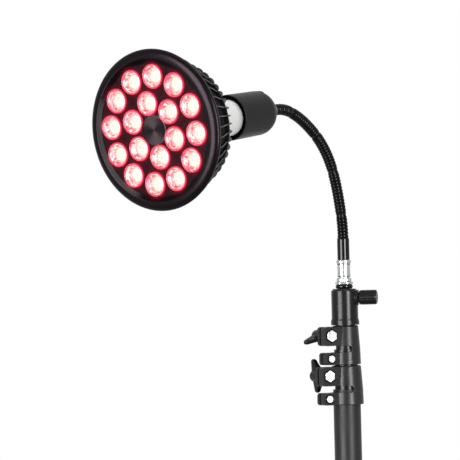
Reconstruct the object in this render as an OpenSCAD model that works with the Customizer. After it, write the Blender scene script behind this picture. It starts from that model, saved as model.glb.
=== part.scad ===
/* [Bulb] */
// Diameter over the bezel
bulb_d = 122; // [116:1:126]
// Width of the rounded bezel lip
lip_w = 8; // [7:0.5:9]
// Number of cooling fins
fin_count = 48; // [36:2:56]
// Thickness of one fin
fin_t = 1.9; // [1.4:0.1:2.4]
// Height of the fins over the bowl behind the bezel
fin_h = 4.5; // [3.5:0.5:6]
// Depth of the finned heat sink behind the bezel
sink_depth = 43; // [40:1:48]
// Radius of the outer ring of lenses
outer_ring_r = 40.6; // [40:0.2:41.4]
// Radius of the inner ring of lenses
inner_ring_r = 20.6; // [20.2:0.2:21]
// Lenses on the outer ring
outer_lenses = 12; // [8:1:12]
// Lenses on the inner ring
inner_lenses = 6; // [4:1:6]
// Diameter of one lens
lens_d = 18.8; // [17:0.2:19]

/* [Lamp holder] */
// Diameter of the holder shell at its front rim
holder_d = 35.6; // [35:0.2:38]
// Length of the holder shell
holder_len = 51; // [50:1:56]
// Length of the domed rear end
dome_len = 15.5; // [14:0.5:17]
// Distance from the holder rim to the front of the bezel
reach = 92.5; // [89:0.5:98]
// Diameter of the screw cap thread
cap_d = 26.2; // [26:0.1:26.4]
// Pitch of the screw cap thread
cap_pitch = 3.6; // [3.5:0.1:3.7]
// Length of the switch rocker
rocker_len = 11; // [10:0.5:12]
// Width of the switch rocker
rocker_w = 9; // [7:0.5:10]

/* [Gooseneck] */
// Outer diameter over the ribs
neck_d = 8.9; // [8:0.1:9.5]
// Free length of the ribbed hose
neck_len = 147.2; // [140:1:170]
// Ribs on each of the eight stretches of hose
ribs_each = 7; // [6:1:8]
// Bore for the wires
neck_bore = 4.4; // [3.6:0.2:4.6]

/* [Mast] */
// Outer diameter of the lower tube
lower_d = 22; // [21:0.5:23]
// Step in diameter from one tube to the next
tube_step = 3; // [3:0.1:3.4]
// Wall of each tube
tube_wall = 1.2; // [1:0.1:1.3]
// Height of the underside of the lower clamp
clamp_z = 545; // [520:5:600]
// Height of one clamp collar
clamp_h = 31.2; // [30:0.4:34]
// Height of the adapter barrel
adapter_h = 29; // [27:0.5:32]
// Direction of the clamp ears, counted from the lamp's right side
ear_turn = 248; // [230:1:265]
// Direction of the adapter's locking knob
knob_turn = 26; // [10:1:40]

/* [Stand] */
// Length of a leg between its top pin and its foot
leg_len = 400; // [380:5:430]
// Pin spacing on the leg and length of its brace
brace_len = 165; // [155:1:170]
// Angle of a leg from the mast when the stand is open
leg_spread = 55; // [50:1:60]
// Distance of the leg pins from the mast axis
pin_r = 24; // [23.5:0.5:26]
// Depth of the leg section
leg_h = 14; // [13:0.5:14.5]
// Width of the leg section
leg_w = 8; // [7:0.5:9]

/* [Hidden] */
$fn = 64;

// Play between tubes that slide in each other
play = 0.2;
// Play of a pin or stud in the hole it turns in
pin_play = 0.1;
black = [0.09, 0.09, 0.10];
soft_black = [0.14, 0.14, 0.15];
chrome = [0.80, 0.81, 0.83];
white = [0.94, 0.94, 0.92];

// Heights on the mast, all from the floor
neck_z = clamp_z + 2 * clamp_h + 1.4 + adapter_h + 40.9;
adapter_top = neck_z - 40.9;
upper_clamp_z = clamp_z + clamp_h + 0.9;
middle_d = lower_d - tube_step;
top_d = middle_d - tube_step;

// The gooseneck is eight stretches of hose, each bent to a circular arc in the lamp's plane
stretches = 8;
stretch_len = neck_len / stretches;
stretch_bend = [11, 4, 8, 15, 14, 9, 12, 24];
rib_pitch = stretch_len / ribs_each;
hose_r = neck_d / 2;
valley_r = hose_r - 0.5;
bore_r = neck_bore / 2;
hose_sides = 8;
// Length of hose held in the sleeve at its foot, and in the nipple at its head
hose_grip = 10.2;
nipple_seat = 4;
// Ball end of one stretch and the socket of the next, both centred on the bend point
ball_r = hose_r + 0.25;
socket_r = ball_r + 0.6;

// Point [forward, up, angle from the mast] at length u on an arc that starts at p
function arc_point(p, bend, u) =
    let (a = p[2], b = bend * u / stretch_len, r = stretch_len / (bend * PI / 180))
    [p[0] + r * (cos(a) - cos(a + b)), p[1] + r * (sin(a + b) - sin(a)), a + b];
// Start of stretch i, counted from 0
function bend_point(i) =
    i == 0 ? [0, neck_z, 0] : arc_point(bend_point(i - 1), stretch_bend[i - 1], stretch_len);
lamp = bend_point(stretches);

// Stations along the lamp axis, from the end of the gooseneck
shell_back = 11.5;
rim_z = shell_back + holder_len;
face_z = rim_z + reach;
dome_z = shell_back + dome_len + 0.3;
dome_r = holder_d / 2 - 0.5;
bulb_r = bulb_d / 2;
tip_z = 30;
cap_len = 26;

// Stand: the leg and its brace make an isosceles linkage, so the collar stays on the mast
foot_drop = 8;
leg_top_z = foot_drop + leg_len * cos(leg_spread);
brace_z = leg_top_z - 2 * brace_len * cos(leg_spread);
leg_turns = [270, 30, 150];
pin_hole_r = 2.5;
collar_turn = 90;

// Solid of revolution about the Z axis from [radius, height] points
module lathe(points) {
    rotate_extrude() polygon(points);
}

module ring(r_out, r_in, h) {
    difference() {
        cylinder(r = r_out, h = h);
        translate([0, 0, -1]) cylinder(r = r_in, h = h + 2);
    }
}

// Places a piece drawn along +Z on the lamp axis
module on_lamp() {
    translate([0, -lamp[0], lamp[1]]) rotate([lamp[2], 0, 0]) children();
}

// Repeats a piece at the centre of every lens
module each_lens() {
    for (k = [0 : outer_lenses - 1])
        rotate([0, 0, -5.5 + 360 * k / outer_lenses]) translate([outer_ring_r, 0, 0]) children();
    for (k = [0 : inner_lenses - 1])
        rotate([0, 0, -20 + 360 * k / inner_lenses]) translate([inner_ring_r, 0, 0]) children();
}

// Depth behind the bezel front turned into a height on the lamp axis
function deep(d) = face_z - d;

// Bulb

lip_h = 4;
lip_back = 5.2;
seat_r = bulb_r - 4;
plate_r = seat_r - 2.9;
plate_top = 2;
seat_deep = 9;
plate_t = 2;
board_t = 1.6;
floor_front = 17;
floor_back = 20.5;
sink_end = lip_back + sink_depth;
floor_r = 51.5;
driver_r = 22.6;
core_r = 26.2;
lens_r = lens_d / 2;

module bezel() {
    crest = bulb_r - lip_w + 1.6;
    slope_end = outer_ring_r + lens_r + 0.3;
    lip = [for (a = [0 : 10 : 90])
        [crest + (bulb_r - crest) * cos(a), deep(lip_h - lip_h * sin(a))]];
    color(black) lathe(concat(
        [[bulb_r - 0.6, deep(lip_back)]], lip,
        [[crest - 0.7, deep(0.05)], [crest - 1.2, deep(0.4)],
         [slope_end, deep(plate_top - 0.4)], [slope_end, deep(plate_top)], [plate_r + 0.2, deep(plate_top)],
         [plate_r + 0.2, deep(seat_deep)], [seat_r - 0.2, deep(seat_deep)], [seat_r - 0.2, deep(lip_back)]]
    ));
}

// Line from behind the bezel to the neck: nearly straight at first, then rounded in
function bowl_line(front, knee, tail) =
    concat(
        [for (t = [0 : 0.2 : 1])
            [front[0] - (front[0] - knee[0]) * pow(t, 1.25), front[1] + (knee[1] - front[1]) * t]],
        [for (a = [15 : 15 : 90])
            [tail[0] + (knee[0] - tail[0]) * cos(a), knee[1] + (tail[1] - knee[1]) * sin(a)]]
    );
function backwards(line) = [for (i = [len(line) - 1 : -1 : 0]) line[i]];

// Cast body: a flanged floor plate and a closed bowl behind it, with low fins all over the bowl
module heat_sink() {
    knee_r = bulb_r - 10.5;
    edge = bowl_line([bulb_r - 1, 5.6], [knee_r, 26], [26.5, sink_end - 1.5]);
    outside = bowl_line([floor_r + 2.6, 15], [knee_r - fin_h, 26.5], [core_r, sink_end - 2 - fin_h]);
    root = bowl_line([floor_r + 1.6, 15], [knee_r - fin_h - 1, 26], [core_r - 1, sink_end - 3 - fin_h]);
    inside = bowl_line([floor_r - 2, floor_back], [knee_r - fin_h - 2.4, 26], [driver_r, sink_end - 4.4 - fin_h]);
    color(black) {
        lathe([for (p = concat(
            [[3, floor_front], [floor_r, floor_front], [floor_r, seat_deep + 0.2], [seat_r, seat_deep + 0.2],
             [seat_r, lip_back + 0.1], [seat_r + 1, lip_back + 0.1], [seat_r + 1, seat_deep + 1]],
            outside, [[core_r, sink_end], [driver_r, sink_end]], backwards(inside), [[3, floor_back]]
        )) [p[0], deep(p[1])]]);
        for (k = [0 : fin_count - 1])
            rotate([0, 0, 360 * k / fin_count - 0.7]) rotate([90, 0, 0])
                linear_extrude(height = fin_t, center = true)
                    polygon([for (p = concat(
                        edge, [[core_r - 1, sink_end - 2]], backwards(root), [[seat_r + 0.5, seat_deep + 0.8], [seat_r + 0.5, 5.6]]
                    )) [p[0], deep(p[1])]]);
    }
}

module lens_plate() {
    color(black) difference() {
        translate([0, 0, deep(plate_top + plate_t)]) cylinder(r = plate_r, h = plate_t);
        each_lens() translate([0, 0, deep(12)]) cylinder(r = lens_r + play, h = 12);
    }
}

// One moulded lens: a domed front on a cone that closes over its light source
module lens() {
    front = [for (t = [0 : 0.25 : 1]) [lens_r * t * 0.97, deep(0.4 + 0.6 * t * t)]];
    lathe(concat(front, [
        [lens_r, deep(1.6)], [lens_r, deep(5)], [4.4, deep(floor_front - board_t)],
        [2.5, deep(floor_front - board_t)], [2.5, deep(12.4)], [0, deep(12.4)]
    ]));
}

module lenses() {
    color([0.98, 0.75, 0.74]) each_lens() lens();
}

module led_chips() {
    dome_r = 1.6;
    color([1, 0.25, 0.2]) each_lens() translate([0, 0, deep(floor_front - board_t)]) {
        translate([-1.75, -1.75, 0]) cube([3.5, 3.5, 0.6]);
        intersection() {
            translate([0, 0, 0.6]) sphere(r = dome_r);
            cylinder(r = dome_r + 1, h = 4);
        }
    }
}

module led_board() {
    color([0.85, 0.85, 0.82]) difference() {
        translate([0, 0, deep(floor_front)]) cylinder(r = 51.3, h = board_t);
        translate([0, 0, deep(floor_front + 1)]) cylinder(r = 3, h = board_t + 2);
        for (k = [0 : 2])
            rotate([0, 0, 10 + 120 * k]) translate([30.4, 0, deep(floor_front + 1)])
                cylinder(r = 1.6, h = board_t + 2);
    }
}

module driver_board() {
    bottom = tip_z + cap_len + 16;
    height = deep(floor_back) - bottom;
    color([0.16, 0.38, 0.22]) translate([-0.8, -10, bottom]) cube([1.6, 20, height]);
    color([0.2, 0.2, 0.22]) {
        translate([0.7, 0, bottom + 12]) rotate([0, 90, 0]) cylinder(r = 4, h = 8);
        translate([0.7, -7, bottom + 24]) cube([9, 14, 12]);
    }
    color([0.75, 0.6, 0.3]) translate([-7, -5, bottom + 20]) cube([6.3, 10, 11]);
}

// White moulded neck: a plain barrel at the cap that flares to the heat sink
neck_r = 13.9;
module bulb_neck() {
    base = thread_top + 2.5;
    foot_z = thread_top - 2.8;
    flare_z = rim_z + 5;
    back = deep(sink_end);
    flare = [for (t = [0 : 0.125 : 1])
        [neck_r + (26 - neck_r) * (1 - cos(180 * t)) / 2, flare_z + (back - flare_z) * t]];
    wall = 2;
    color(white) lathe(concat(
        [[neck_r - 1.9, foot_z], [neck_r - 1.9, base], [neck_r, base]],
        flare,
        [[driver_r - play, back], [driver_r - play, back + 5], [driver_r - play - wall, back + 5]],
        [for (i = [8 : -1 : 0]) [min(flare[i][0], driver_r) - play - wall, flare[i][1]]],
        [[neck_r - 3.7, base], [neck_r - 3.7, foot_z]]
    ));
}

// Thread as a stack of rings, so the bulb can turn without leaving its sleeve
thread_top = tip_z + cap_len - 3;
thread_turns = 4;
function thread_rings(r, up) =
    [for (i = [0 : 8 * thread_turns])
        let (k = up ? i : 8 * thread_turns - i)
        [r + 0.45 * cos(45 * k), thread_top - cap_pitch * thread_turns + cap_pitch * k / 8]];

module screw_cap() {
    mean = cap_d / 2 - 0.45;
    low = thread_top - cap_pitch * thread_turns;
    color(chrome) lathe(concat(
        [[mean - 1.6, low - 3.5], [mean - 0.4, low - 2]],
        thread_rings(mean, true),
        [[mean + 0.2, thread_top + 1.5], [mean + 0.2, thread_top + 2.4], [neck_r - 1.9, thread_top + 2.4],
         [neck_r - 1.9, thread_top - 3], [mean - 0.9, thread_top - 3.6], [mean - 0.9, low - 2],
         [mean - 1.9, low - 3.1]]
    ));
}

module cap_insulator() {
    low = thread_top - cap_pitch * thread_turns;
    color(soft_black) lathe([
        [0, tip_z + 0.8], [4.8, tip_z + 0.8], [6, tip_z + 1.4], [cap_d / 2 - 2.05, low - 3.5],
        [cap_d / 2 - 2.35, low - 3.1], [cap_d / 2 - 1.35, low - 2], [cap_d / 2 - 1.35, low], [0, low]
    ]);
    color([0.8, 0.65, 0.35]) lathe([
        [0, tip_z], [3.4, tip_z], [4.6, tip_z + 0.4], [4.6, tip_z + 0.8], [0, tip_z + 0.8]
    ]);
}

// Lamp holder

shell_wall = 2;
shell_hole_r = 5;
// Shell outline from the cord hole to the rim, moved inwards by d
function shell_side(d) = concat(
    [[shell_hole_r, dome_z - (dome_len - d) * sqrt(1 - pow(shell_hole_r / (dome_r - d), 2))]],
    [for (a = [66 : -11 : 0])
        [(dome_r - d) * cos(a), dome_z - (dome_len - d) * sin(a)]],
    [[holder_d / 2 - d, rim_z - 1.2]]
);

// The switch sits on the shoulder of the dome, square to the surface there
switch_slope = 38;
switch_y = dome_r * cos(switch_slope);
switch_z = dome_z - dome_len * sin(switch_slope);
switch_tilt = atan(tan(switch_slope) * dome_r / dome_len);
rocker_pivot = -2.1;
stub_r = 0.9;

module on_switch() {
    translate([0, switch_y, switch_z]) rotate([-90 - switch_tilt, 0, 0]) children();
}

module holder_shell() {
    frame = 1.5;
    gap = 0.35;
    proud = 0.6;
    color(soft_black) difference() {
        union() {
            lathe(concat(
                shell_side(0),
                [[holder_d / 2 - 1, rim_z], [neck_r + 0.5, rim_z], [neck_r + 0.5, rim_z - 2.6],
                 [holder_d / 2 - shell_wall, rim_z - 2.6]],
                [for (i = [7 : -1 : 0]) shell_side(shell_wall)[i]]
            ));
            intersection() {
                on_switch() translate([-rocker_w / 2 - gap - frame, -rocker_len / 2 - gap - frame, -4])
                    cube([rocker_w + 2 * (gap + frame), rocker_len + 2 * (gap + frame), 8]);
                lathe(concat(
                    [[0, dome_z - dome_len - proud]], shell_side(-proud), [[0, rim_z - 1.2]]
                ));
            }
        }
        translate([0, 0, shell_back - 5]) cylinder(r = shell_hole_r, h = 12);
        on_switch() {
            translate([-rocker_w / 2 - gap, -rocker_len / 2 - gap, -8])
                cube([rocker_w + 2 * gap, rocker_len + 2 * gap, 16]);
            translate([0, 0, rocker_pivot]) rotate([0, 90, 0])
                cylinder(r = stub_r + pin_play, h = rocker_w + 2 * (gap + 1.1), center = true);
        }
    }
}

// Rocker on two stubs: its ends are arcs about the stubs and its top is a shallow V
module switch_rocker() {
    color(black) on_switch() translate([0, 0, rocker_pivot]) rotate([0, 90, 0]) {
        linear_extrude(height = rocker_w, center = true) rotate(7) intersection() {
            circle(d = rocker_len);
            polygon([[-1.2, 0], [-1.8, 6], [1.5, 6], [2.6, 2], [2.6, -2], [1.5, -6], [-1.8, -6]]);
        }
        cylinder(r = stub_r, h = rocker_w + 2, center = true);
    }
}

module socket_core() {
    color([0.85, 0.84, 0.80]) difference() {
        lathe([
            [0, dome_z - 1], [dome_r - shell_wall - 0.5, dome_z - 1], [cap_d / 2 + 2, dome_z],
            [cap_d / 2 + 2, rim_z - 2.6], [cap_d / 2 + 1.1, rim_z - 2.6], [cap_d / 2 + 1.1, tip_z - 1.4],
            [0, tip_z - 1.4]
        ]);
        for (x = [-1, 1])
            translate([6 * x, 0, dome_z - 3]) cylinder(r = 1.2, h = 8);
    }
}

module thread_sleeve() {
    mean = cap_d / 2 - 0.45 + 0.3;
    low = thread_top - cap_pitch * thread_turns;
    color([0.82, 0.68, 0.38]) lathe(concat(
        [[cap_d / 2 + 1.1, thread_top + 2.2], [mean + 0.45, thread_top + 2.2]],
        thread_rings(mean, false),
        [[mean + 0.45, low - 3], [cap_d / 2 + 1.1, low - 3]]
    ));
}

// Spring tongue under the bulb's centre contact
module contact_tongue() {
    color([0.82, 0.68, 0.38]) rotate([90, 0, 0]) linear_extrude(height = 5, center = true)
        polygon([[-8, tip_z - 1.4], [-3, tip_z - 1.4], [-1.5, tip_z - 0.6], [2.5, tip_z - 0.5],
            [2.5, tip_z - 0.1], [-2, tip_z - 0.1], [-3.4, tip_z - 0.9], [-8, tip_z - 0.9]]);
}

module holder_nipple() {
    color([0.35, 0.35, 0.37]) {
        lathe([
            [bore_r, nipple_seat], [valley_r + 0.05, nipple_seat], [valley_r + 0.05, -0.5],
            [hose_r, -0.5], [hose_r, 5], [5.2, 5.2], [5.2, 6.4],
            [5, 6.6], [5, 18.5], [bore_r, 18.5]
        ]);
        difference() {
            translate([0, 0, 15.2]) cylinder(r = 6.9, h = 2.4, $fn = 6);
            translate([0, 0, 14]) cylinder(r = 4.9, h = 6);
        }
    }
}

// Gooseneck

// Rings of one stretch as [length along it, offset on the end tangent, radius]
function hose_rings(i) =
    let (
        first = i == 0,
        last = i == stretches - 1,
        rim = sqrt(ball_r * ball_r - hose_r * hose_r),
        mouth = sqrt(socket_r * socket_r - valley_r * valley_r),
        start_side = first
            ? [[0, -hose_grip, valley_r]]
            : [for (r = [bore_r, (bore_r + valley_r) / 2, valley_r])
                [0, sqrt(socket_r * socket_r - r * r), r]],
        ribs = [for (k = [first ? 0 : 1 : ribs_each], j = [0, 1])
            let (u = rim + rib_pitch * (k - (1 - j) / 2))
            if (u > (first ? 0.1 : mouth) && u < stretch_len - (last ? 1 : 0))
            [u, 0, j == 0 ? valley_r : hose_r]],
        end_side = last
            ? [[stretch_len, -0.5, valley_r], [stretch_len, nipple_seat, valley_r],
                [stretch_len, nipple_seat, bore_r]]
            : concat([[stretch_len, rim, hose_r]], [for (r = [valley_r, (bore_r + valley_r) / 2, bore_r])
                [stretch_len, sqrt(ball_r * ball_r - r * r), r]]),
        bore = [for (t = [0.72, 0.36]) [stretch_len * t, 0, bore_r]],
        back = first ? [[0, -hose_grip, bore_r]] : []
    )
    concat(start_side, ribs, end_side, bore, back);

// Corner points of one ring, in the plane square to the hose
function ring_points(i, s) =
    let (
        p = arc_point(bend_point(i), stretch_bend[i], s[0]),
        t = [0, -sin(p[2]), cos(p[2])],
        n = [0, -cos(p[2]), -sin(p[2])],
        c = [0, -p[0], p[1]] + s[1] * t
    )
    [for (k = [0 : hose_sides - 1])
        let (a = 360 * (k + 0.5) / hose_sides)
        c + s[2] * (cos(a) * n + sin(a) * [1, 0, 0])];

// Closed skin over rings that run round the wall of the hose and back through its bore
module gooseneck(i) {
    rings = hose_rings(i);
    n = len(rings);
    m = hose_sides;
    points = [for (s = rings) each ring_points(i, s)];
    color(black) polyhedron(
        points = points,
        faces = [for (j = [0 : n - 1], k = [0 : m - 1])
            let (a = j * m + k, b = j * m + (k + 1) % m,
                c = ((j + 1) % n) * m + k, d = ((j + 1) % n) * m + (k + 1) % m)
            each [[a, c, b], [b, c, d]]],
        convexity = 8
    );
}

// Fittings between the gooseneck and the mast

module on_neck_base() {
    translate([0, 0, neck_z]) children();
}

module neck_sleeve() {
    color(black) on_neck_base() lathe([
        [bore_r + 0.2, -17.7], [4.9, -17.7], [4.9, -0.6], [4.5, 0], [valley_r + 0.05, 0],
        [valley_r + 0.05, -hose_grip], [bore_r + 0.2, -hose_grip]
    ]);
}

module stud_barrel() {
    bead = [for (a = [-90 : 30 : 90]) [5.1 + 0.9 * cos(a), -19.2 + 1.5 * sin(a)]];
    color(chrome) on_neck_base() lathe(concat(
        [[bore_r + 0.2, -32], [4.4, -32], [4.4, -30.8], [5.2, -30.6], [5.2, -21]], bead,
        [[bore_r + 0.2, -17.7]]
    ));
}

module stud_nut() {
    shoulder = [for (a = [0 : 30 : 90]) [5 + cos(a), -33.2 + 1.2 * sin(a)]];
    color(chrome) on_neck_base() difference() {
        lathe(concat([[3, -35.5], [5.8, -35.5], [6, -35.2]], shoulder, [[3, -32]]));
        for (k = [0 : 11])
            rotate([0, 0, 30 * k]) translate([6.5, 0, -36]) cylinder(r = 0.8, h = 3);
    }
}

module stud_flange() {
    color(chrome) on_neck_base() difference() {
        intersection() {
            translate([0, 0, -37.3]) cylinder(r = 7.6, h = 1.8, $fn = 6);
            translate([0, 0, -37.3]) cylinder(r = 7.2, h = 1.8);
        }
        translate([0, 0, -38]) cylinder(r = 3, h = 4);
    }
}

// Black collar whose spigot drops into the adapter and turns there
module stud_collar() {
    edge = [for (a = [-60 : 30 : 60]) [5.6 + 1.4 * cos(a), -39.05 + 1.95 * sin(a)]];
    foot_z = -40.9 - spigot_len;
    color(black) on_neck_base() lathe(concat(
        [[bore_r + 0.2, foot_z], [spigot_r - 0.6, foot_z], [spigot_r, foot_z + 0.6], [spigot_r, -40.8],
         [5.8, -40.8]], edge, [[5.8, -37.3], [bore_r + 0.2, -37.3]]
    ));
}

spigot_r = 3.9;
spigot_len = 12.5;
adapter_r = top_d / 2 + 2.7;
// Depths below the adapter's top: its knob, the end of the top tube and the cord bush
knob_drop = 7.2;
tube_drop = 13.5;
gland_drop = 21;
gland_turn = 128;
gland_r = 4.2;
lead_r = 2.8;

// Places a piece drawn along +Z square to the mast, facing turn, at a depth below the adapter's top
module beside_adapter(turn, drop) {
    rotate([0, 0, turn]) translate([0, 0, adapter_top - drop]) rotate([0, 90, 0]) children();
}

module adapter() {
    bottom = adapter_top - adapter_h;
    r = adapter_r;
    color(black) difference() {
        union() {
            lathe([
                [0, bottom], [r + 0.7, bottom], [r + 0.7, bottom + 3], [r, bottom + 5.5],
                [r, adapter_top - 1.8], [r - 1.6, adapter_top], [0, adapter_top]
            ]);
            beside_adapter(knob_turn, knob_drop) cylinder(r = 6.2, h = r + 0.8);
        }
        translate([0, 0, bottom - 1]) cylinder(r = top_d / 2, h = adapter_h - tube_drop + 1);
        translate([0, 0, bottom]) cylinder(r = spigot_r + pin_play, h = adapter_h + 1);
        beside_adapter(knob_turn, knob_drop) cylinder(r = 2.6, h = 30);
        beside_adapter(gland_turn, gland_drop) cylinder(r = gland_r, h = 30);
    }
}

// Rubber bush in the hole that a mains lead leaves by
module cord_gland() {
    r = adapter_r + 0.7;
    color(soft_black) beside_adapter(gland_turn, gland_drop)
        lathe([[lead_r, 6.9], [gland_r, 6.9], [gland_r, r], [5.2, r], [5.2, r + 1], [4.6, r + 1.6], [lead_r, r + 1.6]]);
}

// Thumb knob on a screw: a plain neck, then a fluted grip with a domed end
module thumb_knob(start, neck_from, grip_from, tip, grip_r) {
    flutes = 10;
    difference() {
        lathe([
            [0, start], [2, start], [2.4, start + 0.4], [2.4, neck_from], [4.2, neck_from],
            [4.2, grip_from], [grip_r - 0.6, grip_from], [grip_r, grip_from + 0.8], [grip_r, tip - 1.4],
            [grip_r - 0.5, tip - 0.4], [grip_r - 1.6, tip], [0, tip]
        ]);
        for (k = [0 : flutes - 1])
            rotate([0, 0, 360 * k / flutes]) translate([grip_r + 0.5, 0, grip_from - 0.5])
                cylinder(r = 1.15, h = tip - grip_from + 1);
    }
}

module adapter_knob() {
    r = adapter_r;
    color(black) beside_adapter(knob_turn, knob_drop)
        thumb_knob(spigot_r + 0.3, r + 1, r + 1.8, r + 15.9, 5.95);
}

// Mast tubes

module tube(d, from, to) {
    translate([0, 0, from]) ring(d / 2, d / 2 - tube_wall, to - from);
}

module top_tube() {
    color([0.2, 0.2, 0.21]) difference() {
        tube(top_d, 60, adapter_top - tube_drop);
        beside_adapter(gland_turn, gland_drop) cylinder(r = gland_r, h = 30);
    }
}

module middle_tube() {
    color([0.2, 0.2, 0.21]) tube(middle_d, 45, upper_clamp_z + 12);
}

module lower_tube() {
    color([0.2, 0.2, 0.21]) tube(lower_d, brace_z - 28, clamp_z + 12);
}

module tube_plug() {
    color(soft_black) {
        translate([0, 0, brace_z - 31]) cylinder(r = lower_d / 2, h = 3);
        translate([0, 0, brace_z - 31]) cylinder(r = lower_d / 2 - tube_wall, h = 18);
    }
}

// Clamp collars

// The ears reach 7.5 mm to the side of the bolt head and less to the side of the wing knob
ear_front = 7.5;
ear_back = 4.2;
ear_gap = 2.2;
slot_low = 9.8;
slot_high = 15.3;
slot_end = 1;

// Slab in the plane of the ears with its outer corners rounded by r
module ear_outline(reach, from, to, r) {
    translate([0, from]) square([reach - r, to - from]);
    translate([0, from + r]) square([reach, to - from - 2 * r]);
    for (z = [from + r, to - r]) translate([reach - r, z]) circle(r = r);
}

// Turns the outline plane so that x points along the ears and y points up
module across_ears(front, back) {
    translate([0, front, 0]) rotate([90, 0, 0]) linear_extrude(height = front + back) children();
}

// Split collar: the lower band holds the outer tube, the upper band grips the tube that slides
module clamp(inner_d, outer_d, bolt_x) {
    r_low = outer_d / 2 + 2.5;
    r_top = inner_d / 2 + 2.3;
    slot_h = slot_high - slot_low;
    bolt_z = (slot_high + clamp_h) / 2;
    screw_z = slot_low / 2;
    difference() {
        union() {
            lathe([
                [0, 0], [r_low - 0.4, 0], [r_low, 0.5], [r_low - 0.3, slot_low + 2],
                [r_top + 0.2, clamp_h - 1], [r_top - 0.6, clamp_h], [0, clamp_h]
            ]);
            across_ears(ear_front, ear_back) ear_outline(bolt_x + 6.4, slot_high, clamp_h - 0.6, 2.5);
            across_ears(ear_front - 1, ear_back) ear_outline(bolt_x + 5.2, 0, slot_low, 2.2);
        }
        translate([0, 0, -1]) cylinder(r = outer_d / 2, h = 13);
        translate([0, 0, -1]) cylinder(r = inner_d / 2 + play, h = clamp_h + 2);
        across_ears(30, 30) {
            translate([slot_end + slot_h / 2, slot_low]) square([50, slot_h]);
            translate([slot_end + slot_h / 2, slot_low + slot_h / 2]) circle(d = slot_h);
        }
        translate([0, -ear_gap / 2, -1]) cube([50, ear_gap, clamp_h + 2]);
        translate([bolt_x, 0, bolt_z]) rotate([90, 0, 0]) cylinder(r = 2.6, h = 40, center = true);
        translate([bolt_x, ear_front - 2.6, bolt_z]) rotate([-90, 30, 0]) cylinder(r = 5.9, h = 10, $fn = 6);
        translate([bolt_x, 0, screw_z]) rotate([90, 0, 0]) cylinder(r = 1.7, h = 40, center = true);
        translate([bolt_x, ear_front - 2.4, screw_z]) rotate([-90, 30, 0]) cylinder(r = 4.2, h = 10, $fn = 6);
    }
}

// Hexagon bolt through the ears, its shank ending in the wing knob
module clamp_bolt(bolt_x) {
    translate([bolt_x, 0, (slot_high + clamp_h) / 2]) rotate([-90, 0, 0]) {
        rotate([0, 0, 30]) translate([0, 0, ear_front - 2.6]) cylinder(r = 4.8, h = 3.4, $fn = 6);
        translate([0, 0, -ear_back - 9]) cylinder(r = 2.5, h = ear_front + ear_back + 7);
    }
}

// Recessed screw of the lower band with a crossed drive
module clamp_screw(bolt_x) {
    translate([bolt_x, 0, slot_low / 2]) rotate([-90, 0, 0]) difference() {
        union() {
            translate([0, 0, ear_front - 2.4]) cylinder(r = 2.8, h = 2.2);
            translate([0, 0, 0.5 - ear_back]) cylinder(r = 1.7, h = ear_front + ear_back - 2);
        }
        for (a = [0, 90])
            rotate([0, 0, a]) translate([-1.7, -0.35, ear_front - 1.2]) cube([3.4, 0.7, 3]);
    }
}

// Moulded wing knob, its wings along x before it is turned
module wing_knob(turn) {
    span = 13.8;
    hub_h = 12.4;
    color(black) rotate([0, 0, turn]) difference() {
        union() {
            lathe([[0, 0], [5, 0], [5.4, 0.6], [4.8, hub_h - 1.2], [4, hub_h], [0, hub_h]]);
            for (s = [0, 180])
                rotate([0, 0, s]) translate([0, 0, 7.9]) linear_extrude(height = 4) {
                    polygon([[0, -3.6], [span - 2.2, -1.9], [span - 2.2, 1.9], [0, 3.6]]);
                    translate([span - 2.2, 0]) circle(r = 2.2);
                }
        }
        translate([0, 0, -1]) cylinder(r = 2.5 + pin_play, h = 10.4);
    }
}

module on_clamp(z) {
    translate([0, 0, z]) rotate([0, 0, ear_turn]) children();
}

module on_wing(bolt_x) {
    translate([bolt_x, -ear_back - play, (slot_high + clamp_h) / 2]) rotate([90, 0, 0]) children();
}

upper_bolt_x = 17.5;
lower_bolt_x = 20.2;

// Stand

module in_leg_plane(k) {
    rotate([0, 0, leg_turns[k]]) children();
}

// Leg frame: x runs down the leg from its top pin
module on_leg(k) {
    in_leg_plane(k) translate([pin_r, 0, leg_top_z]) rotate([0, 90 - leg_spread, 0]) children();
}

// Brace frame: x runs from the foot collar out to the pin on the leg
module on_brace(k) {
    in_leg_plane(k) translate([pin_r, 0, brace_z]) rotate([0, leg_spread - 90, 0]) children();
}

module cross_pin(r, len) {
    rotate([90, 0, 0]) cylinder(r = r, h = len, center = true);
}

// Riveted pin with a low head at each end
module headed_pin(len) {
    cross_pin(pin_hole_r, len);
    for (s = [-1, 1])
        translate([0, s * (len / 2 - 0.6), 0]) cross_pin(4, 1.2);
}

module leg(k) {
    skin = 1.3;
    color([0.2, 0.2, 0.21]) on_leg(k) {
        difference() {
            union() {
                rotate([90, 0, 0]) cylinder(r = leg_h / 2, h = leg_w, center = true);
                translate([0, -leg_w / 2, -leg_h / 2]) cube([leg_len - 3, leg_w, leg_h]);
            }
            translate([14, -leg_w / 2 + skin, -leg_h / 2 + skin])
                cube([leg_len, leg_w - 2 * skin, leg_h - 2 * skin]);
            cross_pin(pin_hole_r + pin_play, 30);
            translate([brace_len, 0, 0]) cross_pin(pin_hole_r, 30);
        }
        translate([brace_len, 0, 0]) headed_pin(leg_w + 7.6);
    }
}

brace_gap = leg_w + 0.8;
strap_t = 1.8;

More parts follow.
